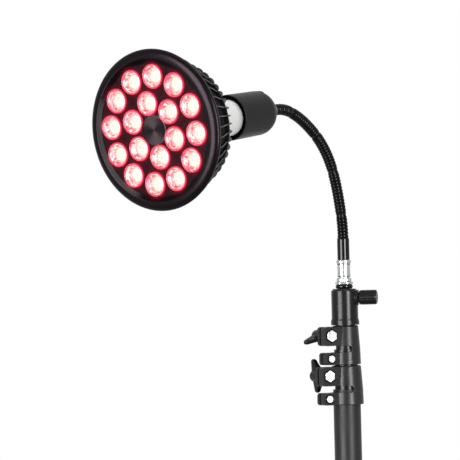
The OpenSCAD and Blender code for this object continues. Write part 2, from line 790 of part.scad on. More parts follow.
module brace(k) {
    web_from = 20;
    color([0.2, 0.2, 0.21]) on_brace(k) difference() {
        union() {
            for (s = [-1, 1])
                translate([0, s * (brace_gap + strap_t) / 2, 0]) {
                    for (x = [0, brace_len])
                        translate([x, 0, 0]) cross_pin(6.4, strap_t);
                    translate([0, -strap_t / 2, -6.4]) cube([brace_len, strap_t, 12.8]);
                }
            translate([web_from, -brace_gap / 2 - 0.5, 4.9])
                cube([brace_len - 2 * web_from, brace_gap + 1, 1.5]);
        }
        for (x = [0, brace_len])
            translate([x, 0, 0]) cross_pin(pin_hole_r + pin_play, 30);
    }
}

// Rubber foot: a rounded boot on the leg's end, cut flat where it stands
module foot(k) {
    boot_r = 10.5;
    color([0.06, 0.06, 0.06]) difference() {
        intersection() {
            on_leg(k) {
                translate([leg_len, 0, 0]) sphere(r = boot_r);
                translate([leg_len - 30, 0, 0]) rotate([0, 90, 0]) cylinder(r = boot_r, h = 30);
            }
            translate([-600, -600, 0]) cube([1200, 1200, 200]);
        }
        on_leg(k) translate([leg_len - 40, -leg_w / 2, -leg_h / 2]) cube([37, leg_w, leg_h]);
    }
}

// Sliding collar: a sleeve with a fork for every leg and a boss for its locking knob
module leg_collar() {
    h = 36;
    r = lower_d / 2 + 4;
    tab = 3;
    color(black) translate([0, 0, leg_top_z]) difference() {
        union() {
            lathe([
                [0, -h / 2], [r - 0.8, -h / 2], [r, -h / 2 + 0.8], [r, h / 2 - 3], [r - 1.6, h / 2], [0, h / 2]
            ]);
            for (k = [0 : 2], s = [-1, 1])
                in_leg_plane(k) translate([0, s * (leg_w / 2 + 0.4 + tab / 2), 0]) {
                    translate([pin_r, 0, 0]) cross_pin(7, tab);
                    translate([lower_d / 2 + 1, -tab / 2, -9]) cube([pin_r - lower_d / 2 - 1, tab, 16]);
                }
            rotate([0, 0, collar_turn]) rotate([0, 90, 0]) cylinder(r = 7, h = r + 4);
        }
        translate([0, 0, -h]) cylinder(r = lower_d / 2 + play, h = 2 * h);
        for (k = [0 : 2])
            in_leg_plane(k) translate([pin_r, 0, 0]) cross_pin(pin_hole_r, 40);
        rotate([0, 0, collar_turn]) rotate([0, 90, 0]) cylinder(r = 2.6, h = 40);
    }
}

module leg_pins() {
    color(chrome) for (k = [0 : 2])
        in_leg_plane(k) translate([pin_r, 0, leg_top_z]) headed_pin(leg_w + 9.2);
}

module collar_knob() {
    r = lower_d / 2 + 4;
    color(black) translate([0, 0, leg_top_z]) rotate([0, 0, collar_turn]) rotate([0, 90, 0])
        thumb_knob(lower_d / 2 + 0.3, r + 4.2, r + 7, r + 20, 8);
}

// Fixed collar at the foot of the lower tube, with one tab for each brace
module foot_collar() {
    h = 30;
    r = lower_d / 2 + 4;
    tab_w = leg_w;
    color(black) translate([0, 0, brace_z]) difference() {
        union() {
            lathe([
                [0, -h / 2], [r - 1, -h / 2], [r, -h / 2 + 1], [r, h / 2 - 1], [r - 1, h / 2], [0, h / 2]
            ]);
            for (k = [0 : 2])
                in_leg_plane(k) {
                    translate([pin_r, 0, 0]) cross_pin(5.6, tab_w);
                    translate([lower_d / 2 + 1, -tab_w / 2, -5.6]) cube([pin_r - lower_d / 2 - 1, tab_w, 11.2]);
                }
        }
        translate([0, 0, -h]) cylinder(r = lower_d / 2, h = 2 * h);
        for (k = [0 : 2])
            in_leg_plane(k) translate([pin_r, 0, 0]) cross_pin(pin_hole_r, 40);
    }
}

module brace_pins() {
    color(chrome) for (k = [0 : 2])
        in_leg_plane(k) translate([pin_r, 0, brace_z]) headed_pin(leg_w + 7.6);
}

on_lamp() heat_sink();
on_lamp() bezel();
on_lamp() lens_plate();
on_lamp() lenses();
on_lamp() led_chips();
on_lamp() led_board();
on_lamp() driver_board();
on_lamp() bulb_neck();
on_lamp() screw_cap();
on_lamp() cap_insulator();
on_lamp() holder_shell();
on_lamp() socket_core();
on_lamp() thread_sleeve();
on_lamp() contact_tongue();
on_lamp() switch_rocker();
on_lamp() holder_nipple();
gooseneck(0);  // gooseneck_1
gooseneck(1);  // gooseneck_2
gooseneck(2);  // gooseneck_3
gooseneck(3);  // gooseneck_4
gooseneck(4);  // gooseneck_5
gooseneck(5);  // gooseneck_6
gooseneck(6);  // gooseneck_7
gooseneck(7);  // gooseneck_8
neck_sleeve();
stud_barrel();
stud_nut();
stud_flange();
stud_collar();
adapter();
adapter_knob();
cord_gland();
top_tube();
middle_tube();
color(black) on_clamp(upper_clamp_z) clamp(top_d, middle_d, upper_bolt_x);  // upper_clamp
color(chrome) on_clamp(upper_clamp_z) clamp_bolt(upper_bolt_x);  // upper_bolt
color(chrome) on_clamp(upper_clamp_z) clamp_screw(upper_bolt_x);  // upper_screw
on_clamp(upper_clamp_z) on_wing(upper_bolt_x) wing_knob(-24);  // upper_wing_knob
lower_tube();
color(black) on_clamp(clamp_z) clamp(middle_d, lower_d, lower_bolt_x);  // lower_clamp
color(chrome) on_clamp(clamp_z) clamp_bolt(lower_bolt_x);  // lower_bolt
color(chrome) on_clamp(clamp_z) clamp_screw(lower_bolt_x);  // lower_screw
on_clamp(clamp_z) on_wing(lower_bolt_x) wing_knob(83);  // lower_wing_knob
tube_plug();
foot_collar();
brace_pins();
leg_collar();
leg_pins();
collar_knob();
leg(0);  // leg_1
leg(1);  // leg_2
leg(2);  // leg_3
brace(0);  // brace_1
brace(1);  // brace_2
brace(2);  // brace_3
foot(0);  // foot_1
foot(1);  // foot_2
foot(2);  // foot_3
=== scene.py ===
"""Light therapy lamp: finned bulb with glowing lenses, switched holder, ribbed neck, clamped mast, tripod.

Lengths are written in millimetres and turned into metres where a mesh is made.
"""
import math

import bmesh
import bpy
import numpy as np
from mathutils import Matrix, Vector

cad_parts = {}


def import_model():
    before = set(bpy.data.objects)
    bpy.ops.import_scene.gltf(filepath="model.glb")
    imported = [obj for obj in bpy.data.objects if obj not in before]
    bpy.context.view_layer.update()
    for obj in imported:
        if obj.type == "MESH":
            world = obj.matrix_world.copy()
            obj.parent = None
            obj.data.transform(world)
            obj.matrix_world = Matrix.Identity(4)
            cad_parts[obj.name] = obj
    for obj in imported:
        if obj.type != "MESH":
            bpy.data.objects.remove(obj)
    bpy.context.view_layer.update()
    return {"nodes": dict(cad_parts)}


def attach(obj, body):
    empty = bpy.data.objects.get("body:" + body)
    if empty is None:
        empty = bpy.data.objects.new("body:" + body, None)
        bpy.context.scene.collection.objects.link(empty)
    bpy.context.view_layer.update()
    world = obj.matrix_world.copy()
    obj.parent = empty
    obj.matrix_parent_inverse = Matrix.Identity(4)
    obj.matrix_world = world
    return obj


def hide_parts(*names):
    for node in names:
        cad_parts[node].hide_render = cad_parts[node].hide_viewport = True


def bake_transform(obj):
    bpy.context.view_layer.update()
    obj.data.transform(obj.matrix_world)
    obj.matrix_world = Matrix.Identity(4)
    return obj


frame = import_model()
nodes = frame["nodes"]
scene = bpy.context.scene
MM = 0.001
rng = np.random.default_rng(7)


# Camera

CAMERA_AZ = 37.999


def make_camera():
    """Camera 2.6 m away, aimed half a degree up; its roll turns the picture so the mast leans 1.4 degrees."""
    data = bpy.data.cameras.new("view_camera")
    data.lens, data.sensor_width = 251.1, 36.0
    data.clip_start, data.clip_end = 0.1, 60.0
    cam = bpy.data.objects.new("view_camera", data)
    scene.collection.objects.link(cam)
    a, e = math.radians(CAMERA_AZ), math.radians(0.509)
    forward = Vector((-math.sin(a) * math.cos(e), math.cos(a) * math.cos(e), math.sin(e)))
    right = forward.cross(Vector((0, 0, 1))).normalized()
    up = right.cross(forward)
    turn = math.radians(-1.396)
    side = right * math.cos(turn) + up * math.sin(turn)
    top = up * math.cos(turn) - right * math.sin(turn)
    axes = Matrix((side, top, -forward)).transposed().to_4x4()
    cam.matrix_world = Matrix.Translation((1.51705, -2.08917, 0.66434)) @ axes
    scene.camera = cam


make_camera()
scene.view_settings.view_transform = "Standard"


# Sizes shared with the CAD

# Neck: height of its foot, its length, and the bend in degrees of each of its equal stretches.
NECK_Z, NECK_LEN = 678.7, 147.2
BENDS = [11, 4, 8, 15, 14, 9, 12, 24]
STRETCH = NECK_LEN / len(BENDS)
# Hose: step from rib to rib, radius on a rib and between two, radius of the bore.
RIB_PITCH = STRETCH / 7
HOSE_R, VALLEY_R, BORE_R = 4.45, 3.95, 2.2
# Places along the lamp's axis from the end of the neck: the holder's rim and the bezel's front.
RIM_Z, FACE_Z = 62.5, 155.0
# Holder's dome: place of its widest circle, that circle's radius, and the dome's length behind it.
DOME_Z, DOME_R, DOME_LEN = 27.3, 17.3, 15.5
# Depths behind the bezel's front: the heat sink's end and the lens plate's face.
SINK_END, PLATE_TOP = 48.2, 2.0
FINS, FIN_PHASE = 48, math.radians(-0.7)
LENS_R = 9.4
# Each ring of lenses: radius, then the angle between lenses and the first one's angle in degrees.
LENS_RINGS = ((40.6, 30, -5.5), (20.6, 60, -20))
# Each clamp: height of its underside and distance of its bolt from the mast's axis.
UPPER_CLAMP, LOWER_CLAMP = (577.1, 17.5), (545.0, 20.2)
# Both clamps: how far their ears are turned, and the heights of bolt and screw over the underside.
CLAMP_TURN = math.radians(248)
BOLT_Z, SCREW_Z = 23.25, 4.9


def neck_line(s):
    """Centre line of the neck: arcs of equal length, each with its own bend, straight beyond both ends.

    Returns how far forward and up each station s lies, and its angle from the mast.
    """
    s = np.atleast_1d(np.asarray(s, float))
    starts = [(0.0, NECK_Z, 0.0)]
    for bend in BENDS:
        f, z, a = starts[-1]
        b = a + math.radians(bend)
        r = STRETCH / math.radians(bend)
        starts.append((f + r * (math.cos(a) - math.cos(b)), z + r * (math.sin(b) - math.sin(a)), b))
    i = np.clip((s // STRETCH).astype(int), 0, len(BENDS) - 1)
    p = np.array(starts)[i]
    rate = np.radians(np.array(BENDS))[i] / STRETCH
    within = np.clip(s, 0, NECK_LEN)
    u = within - i * STRETCH
    a = p[:, 2] + rate * u
    forward = p[:, 0] + (np.cos(p[:, 2]) - np.cos(a)) / rate
    up = p[:, 1] + (np.sin(a) - np.sin(p[:, 2])) / rate
    over = s - within
    return forward + over * np.sin(a), up + over * np.cos(a), a


LAMP_F, LAMP_Z, LAMP_A = (float(v[0]) for v in neck_line(NECK_LEN))


# Placing

def tilted(points, angle):
    """Points turned about the x axis."""
    c, s = math.cos(angle), math.sin(angle)
    x, y, z = points[..., 0], points[..., 1], points[..., 2]
    return np.stack([x, y * c - z * s, y * s + z * c], -1)


def spun(points, angle):
    """Points turned about the z axis."""
    c, s = math.cos(angle), math.sin(angle)
    x, y, z = points[..., 0], points[..., 1], points[..., 2]
    return np.stack([x * c - y * s, x * s + y * c, z], -1)


def on_lamp(points):
    """Points drawn along +Z, turned onto the lamp axis and moved to the end of the neck."""
    return tilted(points, LAMP_A) + np.array([0, -LAMP_F, LAMP_Z])


def off_lamp(points):
    """Points on the lamp in the frame they were drawn in: on_lamp undone."""
    return tilted(points - np.array([0, -LAMP_F, LAMP_Z]), -LAMP_A)


def on_stem(points):
    """Points drawn along the mast's axis, lifted to the foot of the neck."""
    return points + np.array([0, 0, NECK_Z])


def on_switch(points):
    """Points drawn over the switch opening, +Z square to the dome there, then placed on the lamp."""
    slope = math.radians(38)
    tilt = math.atan(math.tan(slope) * DOME_R / DOME_LEN)
    spot = np.array([0, DOME_R * math.cos(slope), DOME_Z - DOME_LEN * math.sin(slope)])
    return on_lamp(tilted(points, -math.pi / 2 - tilt) + spot)


# Surfaces

def rounded(corners, radius, steps=5):
    """Profile with its corners rounded: each corner is cut back by its radius along both sides,
    no further than 0.45 of a side, and the cut is bridged by a quadratic curve through the corner."""
    p = np.array(corners, float)
    r = np.broadcast_to(np.asarray(radius, float), len(p))
    before, after = np.roll(p, 1, 0) - p, np.roll(p, -1, 0) - p
    lb, la = np.linalg.norm(before, axis=1), np.linalg.norm(after, axis=1)
    cut = np.minimum(r, 0.45 * np.minimum(lb, la))
    start, end = p + before / lb[:, None] * cut[:, None], p + after / la[:, None] * cut[:, None]
    t = np.linspace(0, 1, steps)[None, :, None]
    curve = (1 - t) ** 2 * start[:, None] + 2 * t * (1 - t) * p[:, None] + t ** 2 * end[:, None]
    keep = np.ones((len(p), steps), bool)
    keep[r <= 0, 1:] = False
    return curve[keep]


def turned(profile, sides=96):
    """Lathe: every profile point (radius, height) goes round the axis at equal angles."""
    a = np.arange(sides) * 2 * math.pi / sides
    profile = np.asarray(profile, float)
    r, z = profile[:, 0][:, None], profile[:, 1][:, None]
    return np.stack([r * np.cos(a), r * np.sin(a), z + 0 * a], -1)


def hexagonal(across, corner, bore, levels, cuts, sides):
    """Rows of a hexagonal block: its outline cut back at each level, and the bore in the first and last row.

    The flats are across apart, and the corners are turned down to their own radius.
    """
    q = np.arange(sides) * 2 * math.pi / sides
    outline = np.minimum(across / 2 / np.cos((q + math.pi / 6) % (math.pi / 3) - math.pi / 6), corner)
    r = outline - np.array(cuts)[:, None]
    r[[0, -1]] = bore
    z = np.broadcast_to(np.array(levels)[:, None], r.shape)
    return np.stack([r * np.cos(q), r * np.sin(q), z], -1)


def skin(grid, wrap_rows=True, wrap_cols=True, capped=False):
    """Quads between neighbouring rows and columns of a grid; caps close the first and last row."""
    n, m = grid.shape[:2]
    i = np.arange(n if wrap_rows else n - 1)[:, None]
    j = np.arange(m if wrap_cols else m - 1)[None, :]
    a, b = i * m + j, i * m + (j + 1) % m
    c, d = (i + 1) % n * m + (j + 1) % m, (i + 1) % n * m + j
    faces = np.stack([a, b, c, d], -1).reshape(-1, 4).tolist()
    if capped:
        faces.append(list(range(m - 1, -1, -1)))
        faces.append(list(range((n - 1) * m, n * m)))
    return grid.reshape(-1, 3), faces


def outward(points, faces):
    """Turns every face round if the solid's signed volume comes out negative."""
    volume = 0.0
    for size in set(map(len, faces)):
        f = np.array([q for q in faces if len(q) == size])
        p = points[f]
        for k in range(1, size - 1):
            volume += np.einsum("ij,ij->i", p[:, 0], np.cross(p[:, k], p[:, k + 1])).sum()
    return faces if volume > 0 else [q[::-1] for q in faces]


def finish_mesh(obj, crease=38):
    """Smooth faces with sharp lines kept where two faces meet at more than the crease angle."""
    mesh = obj.data
    mesh.polygons.foreach_set("use_smooth", np.ones(len(mesh.polygons), bool))
    mesh.set_sharp_from_angle(angle=math.radians(crease))
    weighted = obj.modifiers.new("even_faces", "WEIGHTED_NORMAL")
    weighted.keep_sharp = True
    weighted.weight = 60


def piece(name, shells, coat, body, stands_for=(), crease=38):
    """One object from closed shells of (points in millimetres, faces); it rides on a body if one is given."""
    points, faces, base = [], [], 0
    for p, f in shells:
        f = outward(p, f)
        points.append(p)
        faces += [[v + base for v in q] for q in f]
        base += len(p)
    mesh = bpy.data.meshes.new(name)
    mesh.from_pydata((np.concatenate(points) * MM).tolist(), [], faces)
    mesh.materials.append(coat)
    obj = bpy.data.objects.new(name, mesh)
    scene.collection.objects.link(obj)
    finish_mesh(obj, crease)
    if body:
        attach(obj, body)
    if stands_for:
        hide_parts(*stands_for)
    return obj


def pocket_shade_faces(mesh, height, bolt_x):
    """Faces inside the two hexagon pockets of a clamp, painted black as shade, found by their place in the
    clamp's own frame.
    """
    points = np.zeros(len(mesh.polygons) * 3)
    mesh.polygons.foreach_get("center", points)
    x, y, z = spun(points.reshape(-1, 3) / MM - np.array([0, 0, height]), -CLAMP_TURN).T
    bolt_r, bolt_top = 6.0, 7.2
    screw_r, screw_top = 4.3, 6.2
    floor_y = 4.5
    bolt = (np.hypot(x - bolt_x, z - BOLT_Z) < bolt_r) & (y < bolt_top)
    screw = (np.hypot(x - bolt_x, z - SCREW_Z) < screw_r) & (y < screw_top)
    return ((bolt | screw) & (y > floor_y)).astype(np.int32)


def eased(node, width, coat, body, crease=28, steps=3):
    """The CAD node's own shape with every sharp edge rounded off by a width in millimetres."""
    bm = bmesh.new()
    bm.from_mesh(nodes[node].data)
    bmesh.ops.remove_doubles(bm, verts=bm.verts, dist=2e-6)
    bmesh.ops.dissolve_limit(bm, angle_limit=math.radians(0.5), verts=bm.verts, edges=bm.edges)
    sharp = [e for e in bm.edges if e.is_manifold and e.calc_face_angle(0) > math.radians(crease)]
    bmesh.ops.bevel(bm, geom=sharp, offset=width * MM, offset_type="OFFSET", segments=steps,
                    profile=0.5, affect="EDGES", clamp_overlap=True)
    bmesh.ops.dissolve_degenerate(bm, dist=1e-7, edges=bm.edges)
    mesh = bpy.data.meshes.new(node + "_eased")
    bm.to_mesh(mesh)
    bm.free()
    mesh.materials.clear()
    mesh.materials.append(coat)
    obj = bpy.data.objects.new(node + "_eased", mesh)
    scene.collection.objects.link(obj)
    finish_mesh(obj, 40)
    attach(obj, body)
    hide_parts(node)
    return obj


# Finishes

def new_coat(name):
    """New material, with its nodes, its links and its shader node."""
    coat = bpy.data.materials.new(name)
    coat.use_nodes = True
    return coat, coat.node_tree.nodes, coat.node_tree.links, coat.node_tree.nodes["Principled BSDF"]


def noise(tree_nodes, links, coords, scale, detail=3.0, rough=0.55):
    """Noise texture over the given coordinates."""
    n = tree_nodes.new("ShaderNodeTexNoise")
    n.inputs["Scale"].default_value = scale
    n.inputs["Detail"].default_value = detail
    n.inputs["Roughness"].default_value = rough
    links.new(coords, n.inputs["Vector"])
    return n.outputs["Fac"]


def spread(tree_nodes, links, value, low, high):
    """Stretches the middle of a noise, 0.3 to 0.7, to the range low to high."""
    m = tree_nodes.new("ShaderNodeMapRange")
    m.inputs["From Min"].default_value, m.inputs["From Max"].default_value = 0.3, 0.7
    m.inputs["To Min"].default_value, m.inputs["To Max"].default_value = low, high
    links.new(value, m.inputs["Value"])
    return m.outputs["Result"]


def two_tone(tree_nodes, links, value, dark, light):
    """Colour between dark at 0 and light at 1."""
    mix = tree_nodes.new("ShaderNodeMix")
    mix.data_type = "RGBA"
    links.new(value, mix.inputs["Factor"])
    mix.inputs["A"].default_value = (*dark, 1)
    mix.inputs["B"].default_value = (*light, 1)
    return mix.outputs["Result"]


def coat_of(name, dark, light, rough, grain, bump=0.0, depth=0.00005, metal=0.0, level=0.5, cloud=60.0):
    """Finish with a finely grained two-tone colour, a roughness that drifts in clouds and a fine relief."""
    coat, n, links, bsdf = new_coat(name)
    coords = n.new("ShaderNodeTexCoord").outputs["Object"]
    clouds = noise(n, links, coords, cloud)
    fine = noise(n, links, coords, grain, 2.0)
    links.new(two_tone(n, links, spread(n, links, fine, 0, 1), dark, light), bsdf.inputs["Base Color"])
    links.new(spread(n, links, clouds, rough[0], rough[1]), bsdf.inputs["Roughness"])
    bsdf.inputs["Metallic"].default_value = metal
    bsdf.inputs["Specular IOR Level"].default_value = level
    if bump:
        relief = n.new("ShaderNodeBump")
        relief.inputs["Strength"].default_value = bump
        relief.inputs["Distance"].default_value = depth
        links.new(fine, relief.inputs["Height"])
        links.new(relief.outputs["Normal"], bsdf.inputs["Normal"])
    return coat


BEZEL_SATIN = coat_of("bezel_satin", (0.0030, 0.0014, 0.0022), (0.0062, 0.0032, 0.0048), (0.24, 0.30), 3500,
                      0.25, 0.00002, level=0.065)
FIN_BLACK = coat_of("fin_black", (0.0006, 0.0005, 0.0006), (0.0014, 0.0012, 0.0014), (0.18, 0.26), 2500,
                    0.2, 0.00003, level=0.09)
BOWL_BLACK = coat_of("bowl_black", (0.0005, 0.0004, 0.0005), (0.0012, 0.001, 0.0012), (0.5, 0.6), 2500, 0.2,
                     0.00003, level=0.01)
EDGE_BARE = coat_of("turned_edge", (0.03, 0.03, 0.032), (0.06, 0.06, 0.062), (0.22, 0.32), 2600, 0.15,
                    0.00002, metal=0.6)
NECK_WHITE = coat_of("neck_white", (0.76, 0.76, 0.75), (0.82, 0.82, 0.81), (0.34, 0.44), 1500, 0.1, 0.00003)
SHELL_SATIN = coat_of("shell_satin", (0.012, 0.012, 0.012), (0.021, 0.021, 0.021), (0.34, 0.42), 5200, 0.35,
                      0.00003, level=0.08)
HOSE_BLACK = coat_of("hose_black", (0.001, 0.001, 0.001), (0.003, 0.003, 0.003), (0.16, 0.24), 1800,
                     level=0.06)
LACQUER = coat_of("sleeve_lacquer", (0.0006, 0.0006, 0.0006), (0.0014, 0.0014, 0.0014), (0.06, 0.09), 900,
                  level=0.16)
CHROME = coat_of("fitting_chrome", (0.34, 0.35, 0.36), (0.46, 0.47, 0.48), (0.13, 0.19), 1400, metal=1.0)
BRIGHT_ZINC = coat_of("bolt_zinc", (0.22, 0.22, 0.23), (0.70, 0.71, 0.72), (0.24, 0.36), 1500, 0.4, 0.00006,
                      metal=1.0)
ADAPTER_BLACK = coat_of("adapter_black", (0.007, 0.007, 0.007), (0.013, 0.013, 0.013), (0.20, 0.26), 4200,
                        0.3, 0.00002, level=0.12)
TUBE_GREY = coat_of("mast_powder", (0.012, 0.012, 0.012), (0.040, 0.040, 0.040), (0.34, 0.44), 2600, 0.7,
                    0.00007, level=0.09)
TUBE_GLOSS = coat_of("inner_tube_black", (0.004, 0.004, 0.004), (0.008, 0.008, 0.008), (0.20, 0.28), 1800,
                     0.15, 0.00002, level=0.12)
CLAMP_NYLON = coat_of("clamp_nylon", (0.014, 0.014, 0.014), (0.034, 0.034, 0.034), (0.24, 0.34), 3200, 0.5,
                      0.00004, level=0.12)
KNOB_BLACK = coat_of("knob_black", (0.003, 0.003, 0.003), (0.008, 0.008, 0.008), (0.26, 0.34), 3200, 0.4,
                     0.00004, level=0.10)
FOOT_RUBBER = coat_of("foot_rubber", (0.010, 0.010, 0.010), (0.016, 0.016, 0.016), (0.62, 0.78), 2400, 0.6,
                      0.00008, level=0.15)
PIN_STEEL = coat_of("pin_steel", (0.42, 0.42, 0.43), (0.55, 0.55, 0.56), (0.28, 0.40), 1700, 0.2, 0.00003,
                    metal=1.0)
BRASS = coat_of("contact_brass", (0.62, 0.44, 0.18), (0.78, 0.58, 0.26), (0.25, 0.38), 900, metal=1.0)
PORCELAIN = coat_of("socket_porcelain", (0.72, 0.71, 0.67), (0.80, 0.79, 0.75), (0.22, 0.30), 700)
BOARD_WHITE = coat_of("board_white", (0.70, 0.70, 0.68), (0.78, 0.78, 0.76), (0.40, 0.50), 900)
BOARD_GREEN = coat_of("board_green", (0.02, 0.10, 0.04), (0.04, 0.15, 0.06), (0.35, 0.45), 800)
NIPPLE_GREY = coat_of("nipple_grey", (0.06, 0.06, 0.062), (0.09, 0.09, 0.092), (0.3, 0.4), 2600, 0.2,
                      0.00003, level=0.4)
DARK_MOULDED = coat_of("dark_moulded", (0.012, 0.012, 0.012), (0.022, 0.022, 0.022), (0.40, 0.52), 2400,
                       0.3, 0.00004)
BEZEL_SATIN.node_tree.nodes["Principled BSDF"].inputs["Specular Tint"].default_value = (1.0, 0.80, 0.93, 1)


def calc(n, links, operation, *values):
    """Math node; each value is a number or another node's output."""
    node = n.new("ShaderNodeMath")
    node.operation = operation
    for k, value in enumerate(values):
        if isinstance(value, (int, float)):
            node.inputs[k].default_value = value
        else:
            links.new(value, node.inputs[k])
    return node.outputs[0]


def painted_lens_glow(coat, strength, fade):
    """Adds painted red glow that fades out round every lens to a coat: emission standing in for the lenses'
    light.

    The map holds the place on the plate in millimetres. For each ring of lenses the angle is folded
    into one step, and the painted glow is fade to the power of the distance from the lens edge in that step.
    into one step, and the light is fade to the power of the distance from the lens edge in that step.
    """
    n, links = coat.node_tree.nodes, coat.node_tree.links
    place = n.new("ShaderNodeUVMap")
    place.uv_map = "place"
    split = n.new("ShaderNodeSeparateXYZ")
    links.new(place.outputs["UV"], split.inputs["Vector"])
    x, y = split.outputs["X"], split.outputs["Y"]
    r = calc(n, links, "SQRT", calc(n, links, "ADD", calc(n, links, "MULTIPLY", x, x),
                                    calc(n, links, "MULTIPLY", y, y)))
    angle = calc(n, links, "ARCTAN2", y, x)
    total = None
    for ring_r, step, start in LENS_RINGS:
        half = math.radians(step) / 2
        turn = calc(n, links, "ADD", angle, half - math.radians(start) + 2 * math.pi)
        local = calc(n, links, "SUBTRACT", calc(n, links, "MODULO", turn, 2 * half), half)
        across = calc(n, links, "MULTIPLY", r, calc(n, links, "SINE", local))
        out = calc(n, links, "SUBTRACT", calc(n, links, "MULTIPLY", r, calc(n, links, "COSINE", local)),
                   ring_r)
        far = calc(n, links, "SQRT", calc(n, links, "ADD", calc(n, links, "MULTIPLY", across, across),
                                          calc(n, links, "MULTIPLY", out, out)))
        light = calc(n, links, "POWER", fade, calc(n, links, "SUBTRACT", far, LENS_R))
        total = light if total is None else calc(n, links, "ADD", total, light)
    bsdf = n["Principled BSDF"]
    # Painted glow: red emission that stands in for the lenses' light on the surface.
    bsdf.inputs["Emission Color"].default_value = (1.0, 0.03, 0.09, 1)
    links.new(calc(n, links, "MULTIPLY", total, strength), bsdf.inputs["Emission Strength"])
    return coat


def add_map(mesh, name, places):
    """New map on a mesh, with a place for each vertex."""
    index = np.zeros(len(mesh.loops), np.int32)
    mesh.loops.foreach_get("vertex_index", index)
    mesh.uv_layers.new(name=name).data.foreach_set("uv", places[index].astype(np.float32).ravel())


def map_place(mesh):
    """Map of a mesh on the bulb: each vertex's place across the lamp axis, in millimetres."""
    points = np.zeros(len(mesh.vertices) * 3)
    mesh.vertices.foreach_get("co", points)
    add_map(mesh, "place", off_lamp(points.reshape(-1, 3) / MM)[:, :2])


def lens_plate():
    """The CAD plate with eased holes, in very dark wine-red paint, with a painted red glow round the lenses
    for their light.
    """
    coat = coat_of("plate_wine", (0.012, 0.0026, 0.0044), (0.026, 0.0058, 0.0096), (0.22, 0.34), 900, 0.35,
                   0.00004, level=0.03, cloud=120)
    # Painted glow round every lens, standing in for the lenses' light on the plate.
    obj = eased("lens_plate", 0.15, painted_lens_glow(coat, 0.08, 0.62), "bulb")
    map_place(obj.data)


def glow_coat(name, strength):
    """Lit acrylic: each facet's own glow colour, broken up by millimetre-sized cells."""
    coat, n, links, bsdf = new_coat(name)
    glow = n.new("ShaderNodeAttribute")
    glow.attribute_name = "glow"
    coords = n.new("ShaderNodeTexCoord").outputs["Object"]
    cells = n.new("ShaderNodeTexVoronoi")
    cells.inputs["Scale"].default_value = 900
    links.new(coords, cells.inputs["Vector"])
    span = n.new("ShaderNodeMapRange")
    span.inputs["From Max"].default_value = 0.8
    span.inputs["To Min"].default_value, span.inputs["To Max"].default_value = 1.15, 0.55
    links.new(cells.outputs["Distance"], span.inputs["Value"])
    lit = n.new("ShaderNodeVectorMath")
    lit.operation = "SCALE"
    links.new(glow.outputs["Color"], lit.inputs[0])
    links.new(span.outputs["Result"], lit.inputs["Scale"])
    links.new(lit.outputs["Vector"], bsdf.inputs["Emission Color"])
    bsdf.inputs["Emission Strength"].default_value = strength
    bsdf.inputs["Base Color"].default_value = (0.30, 0.02, 0.04, 1)
    bsdf.inputs["Roughness"].default_value = 0.30
    bsdf.inputs["Specular IOR Level"].default_value = 0.3
    return coat


def brushed_coat():
    """Turned disc: dark metal whose highlight fans out across the turning marks."""
    coat, n, links, bsdf = new_coat("turned_disc")
    coords = n.new("ShaderNodeTexCoord").outputs["UV"]
    stretch = n.new("ShaderNodeMapping")
    stretch.inputs["Scale"].default_value = (4, 160, 1)
    links.new(coords, stretch.inputs["Vector"])
    marks = noise(n, links, stretch.outputs["Vector"], 1.0, 4.0)
    links.new(two_tone(n, links, spread(n, links, marks, 0, 1), (0.006, 0.0032, 0.004),
                       (0.018, 0.010, 0.0125)), bsdf.inputs["Base Color"])
    links.new(spread(n, links, marks, 0.24, 0.36), bsdf.inputs["Roughness"])
    bsdf.inputs["Metallic"].default_value = 0.85
    bsdf.inputs["Anisotropic"].default_value = 0.8
    tangent = n.new("ShaderNodeTangent")
    tangent.direction_type = "UV_MAP"
    links.new(tangent.outputs["Tangent"], bsdf.inputs["Tangent"])
    return coat


# Bulb

def deep(profile):
    """Profile of (radius, depth behind the bezel front) turned into heights on the lamp axis."""
    p = np.array(profile, float)
    return np.stack([p[:, 0], FACE_Z - p[:, 1]], -1)


def bezel_ring():
    """Bezel: a quarter ellipse from the outer edge to a crest near the bore, then a slope to the plate.

    The slope's four rows, from the third inner point on, have their own coat with a stronger painted red
    glow, standing in for the lenses' reflections in it.
    """
    sides = 192
    t = np.linspace(0, math.pi / 2, 22)
    face = np.stack([54.6 + 6.4 * np.cos(t), 4.0 - 4.0 * np.sin(t)], -1)
    inner = [(54.2, 0.02), (53.9, 0.08), (53.6, 0.22), (53.3, 0.42), (50.5, 1.55), (50.35, 1.7),
             (50.3, 2.0), (54.3, 2.0), (54.3, 9.0), (56.8, 9.0), (56.8, 5.25)]
    back = [(60.1, 5.2), (60.5, 5.1), (60.8, 4.8)]
    profile = deep(np.concatenate([face, inner, back]))
    obj = piece("bezel_ring", [skin(on_lamp(turned(profile, sides)))], BEZEL_SATIN, "bulb",
                ["bezel"])
    slope = coat_of("slope_gloss_and_painted_glow", (0.0016, 0.0008, 0.0011), (0.0030, 0.0014, 0.0020), (0.12, 0.18), 3500,
                    0.1, 0.00002, level=0.03)
    # Painted reflection: stronger red glow on the slope near each lens, standing in for the lenses'
    # reflections.
    obj.data.materials.append(painted_lens_glow(slope, 0.30, 0.35))
    map_place(obj.data)
    row = np.arange(len(obj.data.polygons)) // sides - len(face)
    obj.data.polygons.foreach_set("material_index", ((row >= 2) & (row < 6)).astype(np.int32))


def bowl_line(t, front, knee, tail, turn=0.42):
    """Line from behind the bezel to the neck: nearly straight up to t = turn, then a quarter ellipse."""
    u = np.clip(t / turn, 0, 1)
    a = np.clip((t - turn) / (1 - turn), 0, 1) * math.pi / 2
    r = np.where(t <= turn, front[0] - (front[0] - knee[0]) * u ** 1.25,
                 tail[0] + (knee[0] - tail[0]) * np.cos(a))
    d = np.where(t <= turn, front[1] + (knee[1] - front[1]) * u, knee[1] + (tail[1] - knee[1]) * np.sin(a))
    return np.stack([r, d], -1)


